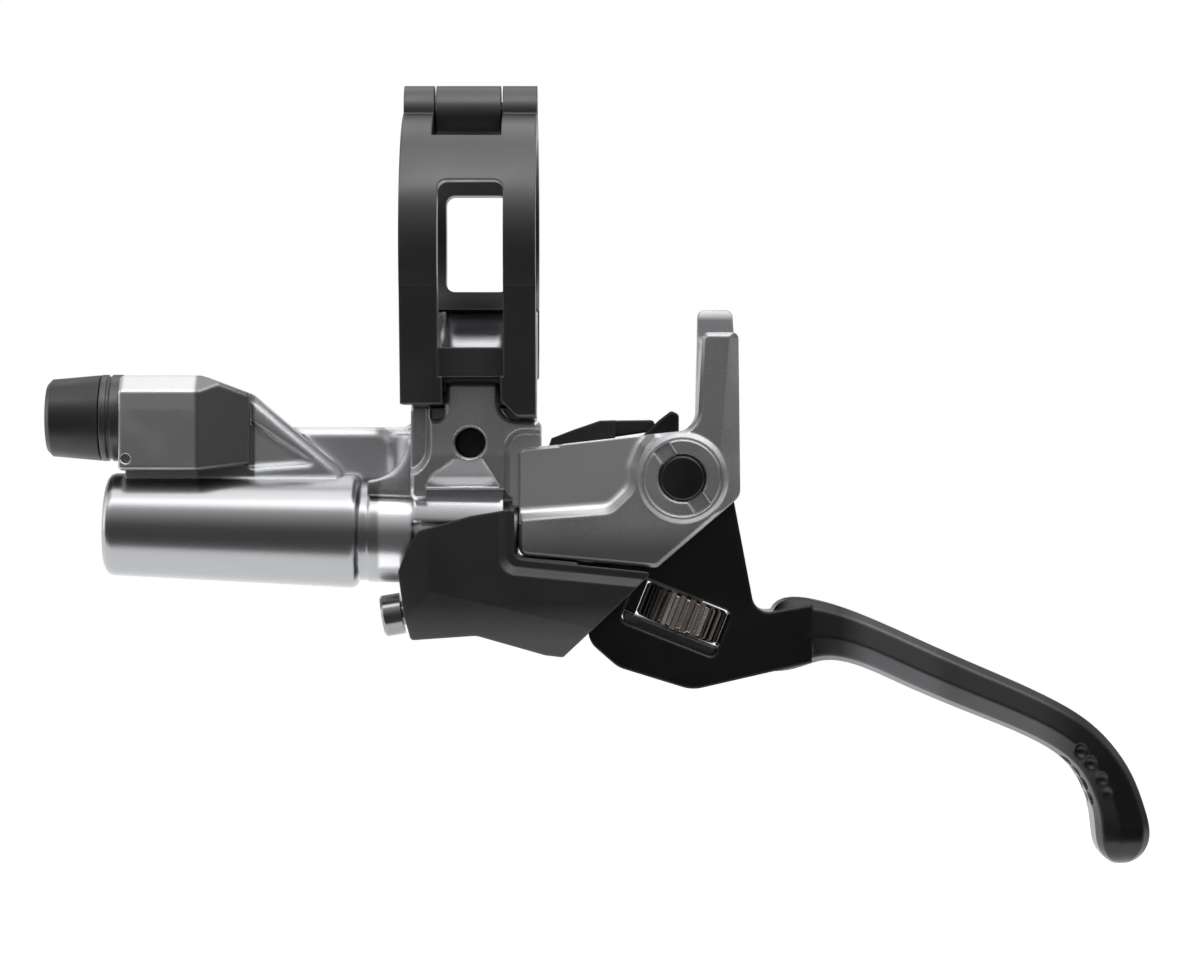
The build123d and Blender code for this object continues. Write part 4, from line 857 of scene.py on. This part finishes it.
@dataclass
class LeverCasting:
    """Cast body with the reservoir that stands behind the cylinder."""

    shop: Workshop
    axis_x: float = -11.83
    axis_z: float = -30.43
    axis_slope: float = 0.0279
    collar_radius: float = 6.6
    collar_inner: float = 3.4
    collar_lift: float = 0.7
    collar_left: float = -5.9
    collar_right: float = 3.6
    collar_angles: range = range(4, 81, 4)
    collar_rounding: float = 0.4
    sweep_x: float = -10.8
    sweep_z: float = -20.7
    sweep_radius: float = 4.3
    sweep_foot: float = -26.7
    sweep_toe: float = -26.9
    sweep_near: float = -4.5
    sweep_far: float = 2.6
    sweep_angles: range = range(0, -91, -6)
    sweep_rounding: float = 1.0

    def build(self) -> None:
        """Dresses the body, the lid and their screws, and adds the soft blends of the casting."""
        self._collar()
        self._sweep()
        self.shop.dress(CAST_GREY, "lever_body", "cylinder_plug", "reservoir_lid")
        self.shop.dress(CAST_GREY, "pivot_bush_near", "pivot_bush_far")
        self.shop.dress(DARK_STEEL, "reservoir_screws", "bleed_screw", "cover_screw")
        self.shop.dress(SEAL_RUBBER, "diaphragm")

    def _collar(self) -> None:
        """Swell that carries the block's lower edge into the neck of the cylinder; its lighter tone is
        partly polish, partly a painted highlight.
        """
        turns = [math.radians(angle) for angle in self.collar_angles]
        rim = []
        for radius, angles in ((self.collar_radius, turns), (self.collar_inner, reversed(turns))):
            rim += [(-radius * math.cos(turn), radius * math.sin(turn)) for turn in angles]
        points = []
        for x in (self.collar_left, self.collar_right):
            height = self.axis_z + self.collar_lift - (x - self.axis_x) * self.axis_slope
            points += [(x * MM, y * MM, (height + z) * MM) for y, z in rim]
        collar = closed_piece("neck_collar", points, self.shop.material(CAST_GREY))
        soften(collar, self.collar_rounding)
        self.shop.place(collar, Body.ROOT, Slot.BODY_GREY)

    def _sweep(self) -> None:
        """Gusset that sweeps from the block's left edge down into the top of the cylinder."""
        sides = []
        for turn in (math.radians(angle) for angle in self.sweep_angles):
            across = self.sweep_x + self.sweep_radius * math.cos(turn)
            sides.append((across, self.sweep_z + self.sweep_radius * math.sin(turn)))
        sides += [(self.sweep_x, self.sweep_foot), (self.collar_left, self.sweep_toe)]
        sides.append((self.collar_left, self.sweep_z))
        material = self.shop.material(CAST_GREY)
        sweep = prism("block_sweep", sides, self.sweep_near, self.sweep_far, material)
        soften(sweep, self.sweep_rounding)
        self.shop.place(sweep, Body.ROOT, Slot.BODY_GREY)


@dataclass
class OilSide:
    """Piston with its seals, spring and rod, and the port of the hose."""

    shop: Workshop
    spring_start: Triple = (-28.42, 0.0, -29.97)
    spring_end: Triple = (-16.83, 0.0, -30.29)

    def build(self) -> None:
        """Dresses the inner pieces and the port, and puts a copy of the spring in place of the CAD one."""
        self.shop.dress(MOULDED_BLACK, "piston", "rod_guide")
        self.shop.dress(SEAL_RUBBER, "primary_seal", "secondary_seal", "rod_seal")
        self.shop.dress(BRIGHT_STEEL, "piston_spring", "pull_rod", "roller_pin", "pull_rollers")
        self.shop.dress(SATIN_BLACK, "hose_nut")
        self.shop.dress(SLEEVE_RUBBER, "hose_cover")
        self.shop.dress(OLIVE_BRASS, "olive")
        self._spring()

    def _spring(self) -> None:
        """Copy of the CAD's spring, which takes the place of the hidden CAD spring."""
        spring = self.shop.frame["nodes"]["piston_spring"]
        coils = linked("return_spring_coils", spring.data.copy())
        start = Vector(self.spring_start) * MM
        end = Vector(self.spring_end) * MM
        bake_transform(coils)
        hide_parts("piston_spring")
        LOG.info("made %s between %s and %s", coils.name, Body.PLUNGER.value, Body.ROOT.value)


@dataclass
class LeverBlade:
    """Blade with its arm, pivot and reach adjuster."""

    shop: Workshop
    dial_x: float = 22.4
    dial_z: float = -39.1
    dial_tilt: float = 21.5
    dial_radius: float = 4.55
    dial_half: float = 1.85
    window_left: float = -5.9
    window_right: float = 4.8
    window_top: float = 2.2
    slit_start: float = 1.5
    lining_gap: float = 0.06
    side_depths: tuple[float, float] = (-1.0, 4.3)
    top_depths: tuple[float, float] = (-4.3, -1.5)

    def build(self) -> None:
        """Dresses the blade and what turns in it."""
        self._lining()
        self.shop.dress(BLADE_BLACK, "lever_blade", "pull_arm")
        self.shop.dress(MOULDED_BLACK, "blade_bushes", "detent_plate", "dust_shield")
        self.shop.dress(DIAL_ALLOY, "reach_dial")
        self.shop.dress(BRIGHT_STEEL, "reach_screw", "pivot_clip")
        self.shop.dress(DARK_STEEL, "pivot_pin")

    def _lining(self) -> None:
        """Thin linings that close the window's gap round the dial, but for the slit over its right half."""
        edge = self.dial_radius + self.lining_gap
        top = self.dial_half + self.lining_gap
        boxes = (
            ("left", self.window_left, -edge, -self.dial_half, self.window_top, self.side_depths),
            ("top", self.window_left, self.slit_start, top, self.window_top, self.top_depths),
            ("right", edge, self.window_right, -self.dial_half, self.dial_half, self.side_depths),
        )
        material = self.shop.material(MOULDED_BLACK)
        turn = math.radians(self.dial_tilt)
        for name, left, right, low, high, depths in boxes:
            sides = []
            for along, up in ((left, low), (right, low), (right, high), (left, high)):
                x = self.dial_x + along * math.cos(turn) + up * math.sin(turn)
                sides.append((x, self.dial_z - along * math.sin(turn) + up * math.cos(turn)))
            lining = prism("dial_lining_" + name, sides, *depths, material)
            self.shop.place(lining, Body.BLADE, Slot.BLACK_PLASTIC)


@dataclass
class MechanismCover:
    """Moulded cover under the cylinder with the free-stroke screw."""

    shop: Workshop
    strip_left: float = 10.0
    strip_right: float = 18.0
    strip_slope: float = -0.108
    strip_rise: float = 0.04
    strip_drop: float = -0.5
    strip_near: float = 6.75
    strip_far: float = 7.2
    gap_x: float = 15.3
    gap_z: float = -33.81

    def build(self) -> None:
        """Dresses the cover and its screw, and closes the gap under the ear."""
        self.shop.dress(MOULDED_BLACK, "mechanism_cover")
        self.shop.dress(POLISHED_STEEL, "free_stroke_screw")
        self._strip()

    def _strip(self) -> None:
        """Thin strip along the ear's lower edge, where the floor would show through."""
        sides = []
        for x, rise in (
            (self.strip_left, self.strip_rise),
            (self.strip_right, self.strip_rise),
            (self.strip_right, self.strip_drop),
            (self.strip_left, self.strip_drop),
        ):
            sides.append((x, self.gap_z + (x - self.gap_x) * self.strip_slope + rise))
        material = self.shop.material(MOULDED_BLACK)
        strip = prism("ear_gap_strip", sides, self.strip_near, self.strip_far, material)
        self.shop.place(strip, Body.ROOT, Slot.BLACK_PLASTIC)


# Studio


@dataclass(frozen=True)
class Lamp:
    """Soft area lamp: where it hangs, the point that it faces, its size in metres and its watts."""

    name: str
    place: Triple
    aim: Triple
    width: float
    height: float
    power: float

    def build(self) -> None:
        """Hangs the lamp."""
        light = bpy.data.lights.new(self.name, "AREA")
        light.shape = "RECTANGLE"
        light.size = self.width
        light.size_y = self.height
        light.energy = self.power
        holder = linked(self.name, light)
        place, aim = Vector(self.place), Vector(self.aim)
        holder.location = place
        holder.rotation_euler = (aim - place).to_track_quat("-Z", "Y").to_euler()


LAMPS = (
    Lamp("front_strip", (0.02, -0.34, 0.46), (0.0, 0.0, -0.03), 1.1, 0.18, 1.6),
    Lamp("top_panel", (0.02, 0.02, 0.62), (0.0, 0.0, -0.03), 1.2, 0.62, 2.8),
    Lamp("left_side", (-0.60, 0.10, 0.12), (0.0, 0.0, -0.02), 0.20, 0.40, 0.5),
)


@dataclass
class Studio:
    """Pale floor, soft lamps, the grey flags that the metal mirrors, and the camera. Sizes in metres."""

    camera_place: Triple = (0.0137, -0.400, -0.025)
    lens: float = 112.8
    floor_height: float = -0.125
    floor_half: float = 4.0
    flag_tones: tuple[float, float] = (0.10, 0.60)
    flag_heights: tuple[float, float] = (-0.10, 0.60)
    flag_half: float = 1.1
    flag_foot: float = -0.118
    flag_shoulder: float = 0.42
    flag_top: float = 0.62
    flag_front: float = -0.80

    def build(self) -> None:
        """Makes everything round the object."""
        self._world()
        self._ground()
        self._flags()
        for lamp in LAMPS:
            lamp.build()
        self._camera()

    @staticmethod
    def _seen(nodes: Nodes) -> bpy.types.NodeSocket:
        """1 for rays from the camera, a mirror or glass, which should see the plain background."""
        path = nodes.add("ShaderNodeLightPath")
        pair = nodes.math("MAXIMUM", path.outputs["Is Camera Ray"], path.outputs["Is Glossy Ray"])
        return nodes.math("MAXIMUM", pair, path.outputs["Is Transmission Ray"])

    def _world(self) -> None:
        """World that looks white to camera, mirror and glass, and gives a softer, cooler light."""
        world = bpy.data.worlds.new("studio")
        bpy.context.scene.world = world
        world.use_nodes = True
        world.node_tree.nodes.clear()
        nodes = Nodes(world.node_tree)
        white = nodes.add("ShaderNodeBackground")
        white.inputs["Color"].default_value = (1.0, 1.0, 1.0, 1.0)
        white.inputs["Strength"].default_value = 1.0
        light = nodes.add("ShaderNodeBackground")
        light.inputs["Color"].default_value = (0.96, 0.98, 1.0, 1.0)
        light.inputs["Strength"].default_value = 0.5
        mix = nodes.add("ShaderNodeMixShader")
        output = nodes.add("ShaderNodeOutputWorld")
        nodes.join(self._seen(nodes), mix.inputs[0])
        nodes.join(light.outputs[0], mix.inputs[1])
        nodes.join(white.outputs[0], mix.inputs[2])
        nodes.join(mix.outputs[0], output.inputs[0])

    def _ground(self) -> None:
        """Pale floor that keeps a soft shadow."""
        material, nodes, shader = start_material("pale_floor")
        shader.inputs["Base Color"].default_value = (0.82, 0.82, 0.82, 1.0)
        shader.inputs["Roughness"].default_value = 0.9
        glow = nodes.add("ShaderNodeEmission")
        glow.inputs["Color"].default_value = (1.0, 1.0, 1.0, 1.0)
        glow.inputs["Strength"].default_value = 0.55
        seen = nodes.add("ShaderNodeMixShader")
        nothing = nodes.add("ShaderNodeEmission")
        nothing.inputs["Strength"].default_value = 0.0
        nodes.join(self._seen(nodes), seen.inputs[0])
        nodes.join(nothing.outputs[0], seen.inputs[1])
        nodes.join(glow.outputs[0], seen.inputs[2])
        total = nodes.add("ShaderNodeAddShader")
        nodes.join(shader.outputs[0], total.inputs[0])
        nodes.join(seen.outputs[0], total.inputs[1])
        output = next(node for node in nodes.tree.nodes if node.type == "OUTPUT_MATERIAL")
        nodes.join(total.outputs[0], output.inputs[0])
        signs = ((-1, -1), (1, -1), (1, 1), (-1, 1))
        rim = [(x * self.floor_half, y * self.floor_half, self.floor_height) for x, y in signs]
        self._sheet("floor", rim, [(0, 1, 2, 3)], material)

    def _flags(self) -> None:
        """Grey studio flags that only gloss sees: they give the metal its dark middle tones."""
        foot, shoulder, top, near = self.flag_foot, self.flag_shoulder, self.flag_top, self.flag_front
        front = self._run(((-0.075, foot), (near, foot), (near, shoulder), (-0.52, top)))
        back = self._run(((0.00, top), (0.55, top), (0.95, 0.20)))
        right = self._wall(self.flag_half, 0.80)
        left = self._wall(-self.flag_half, -0.10)
        light = self.flag_tones[1]
        for name, points, tones in (
            ("front_flag", front, self.flag_tones),
            ("back_flag", back, (light, light)),
            ("right_flag", right, self.flag_tones),
            ("left_flag", left, self.flag_tones),
        ):
            material, nodes, shader = start_material(name + "_cloth")
            parts = nodes.add("ShaderNodeSeparateXYZ")
            nodes.join(nodes.add("ShaderNodeTexCoord").outputs["Object"], parts.inputs[0])
            glow = nodes.add("ShaderNodeEmission")
            nodes.join(nodes.remap(parts.outputs[2], *self.flag_heights, *tones), glow.inputs["Strength"])
            output = next(node for node in nodes.tree.nodes if node.type == "OUTPUT_MATERIAL")
            nodes.join(glow.outputs[0], output.inputs[0])
            nodes.tree.nodes.remove(shader)
            faces = [(k, k + 1, k + 3, k + 2) for k in range(0, len(points) - 2, 2)]
            flag = self._sheet(name, points, faces, material)
            flag.visible_camera = False
            flag.visible_shadow = False
            flag.visible_diffuse = False
            flag.visible_transmission = False

    def _run(self, stations: tuple[tuple[float, float], ...]) -> list[Triple]:
        """Corners of a flag as wide as the studio, as pairs along its stations.

        Args:
            stations: Depth and height of each bend, in order.

        Returns:
            The corners, left and right at each station.
        """
        return [(side * self.flag_half, y, z) for y, z in stations for side in (-1, 1)]

    def _wall(self, across: float, back: float) -> list[Triple]:
        """Corners of an upright flag at one side.

        Args:
            across: Where it stands across the studio.
            back: Depth of its far end.

        Returns:
            The corners, foot and shoulder at each end.
        """
        heights = (self.flag_foot, self.flag_shoulder)
        return [(across, y, z) for y in (self.flag_front, back) for z in heights]

    @staticmethod
    def _sheet(
        name: str, points: list[Triple], faces: list[tuple[int, ...]], material: bpy.types.Material
    ) -> bpy.types.Object:
        """Makes a stage piece out of flat panels.

        Args:
            name: Name of the piece.
            points: Its corners.
            faces: Its panels, as indices of the corners.
            material: Its finish.

        Returns:
            The stage piece.
        """
        mesh = bpy.data.meshes.new(name)
        mesh.from_pydata(points, [], faces)
        mesh.materials.append(material)
        sheet = linked(name, mesh)
        return sheet

    def _camera(self) -> None:
        """Adds the camera at the photograph's viewing angle."""
        camera = bpy.data.cameras.new("camera")
        camera.sensor_width = 36.0
        camera.lens = self.lens
        camera.clip_start = 0.01
        camera.clip_end = 50.0
        holder = linked("camera", camera)
        holder.location = self.camera_place
        holder.rotation_euler = (math.pi / 2, 0.0, 0.0)
        bpy.context.scene.camera = holder


def clear_scene() -> None:
    """Empties Blender's start scene."""
    for item in list(bpy.data.objects):
        bpy.data.objects.remove(item)


def main() -> None:
    """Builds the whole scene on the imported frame."""
    logging.basicConfig(level=logging.INFO, format="%(name)s: %(message)s")
    clear_scene()
    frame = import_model()
    shop = Workshop(frame)
    for assembly in (
        BarClamp(shop, RingRow()),
        LeverCasting(shop),
        OilSide(shop),
        LeverBlade(shop),
        MechanismCover(shop),
    ):
        assembly.build()
    scene = bpy.context.scene
    scene.view_settings.view_transform = "Standard"
    Studio().build()
    bpy.context.view_layer.update()


if __name__ == "__main__":
    main()
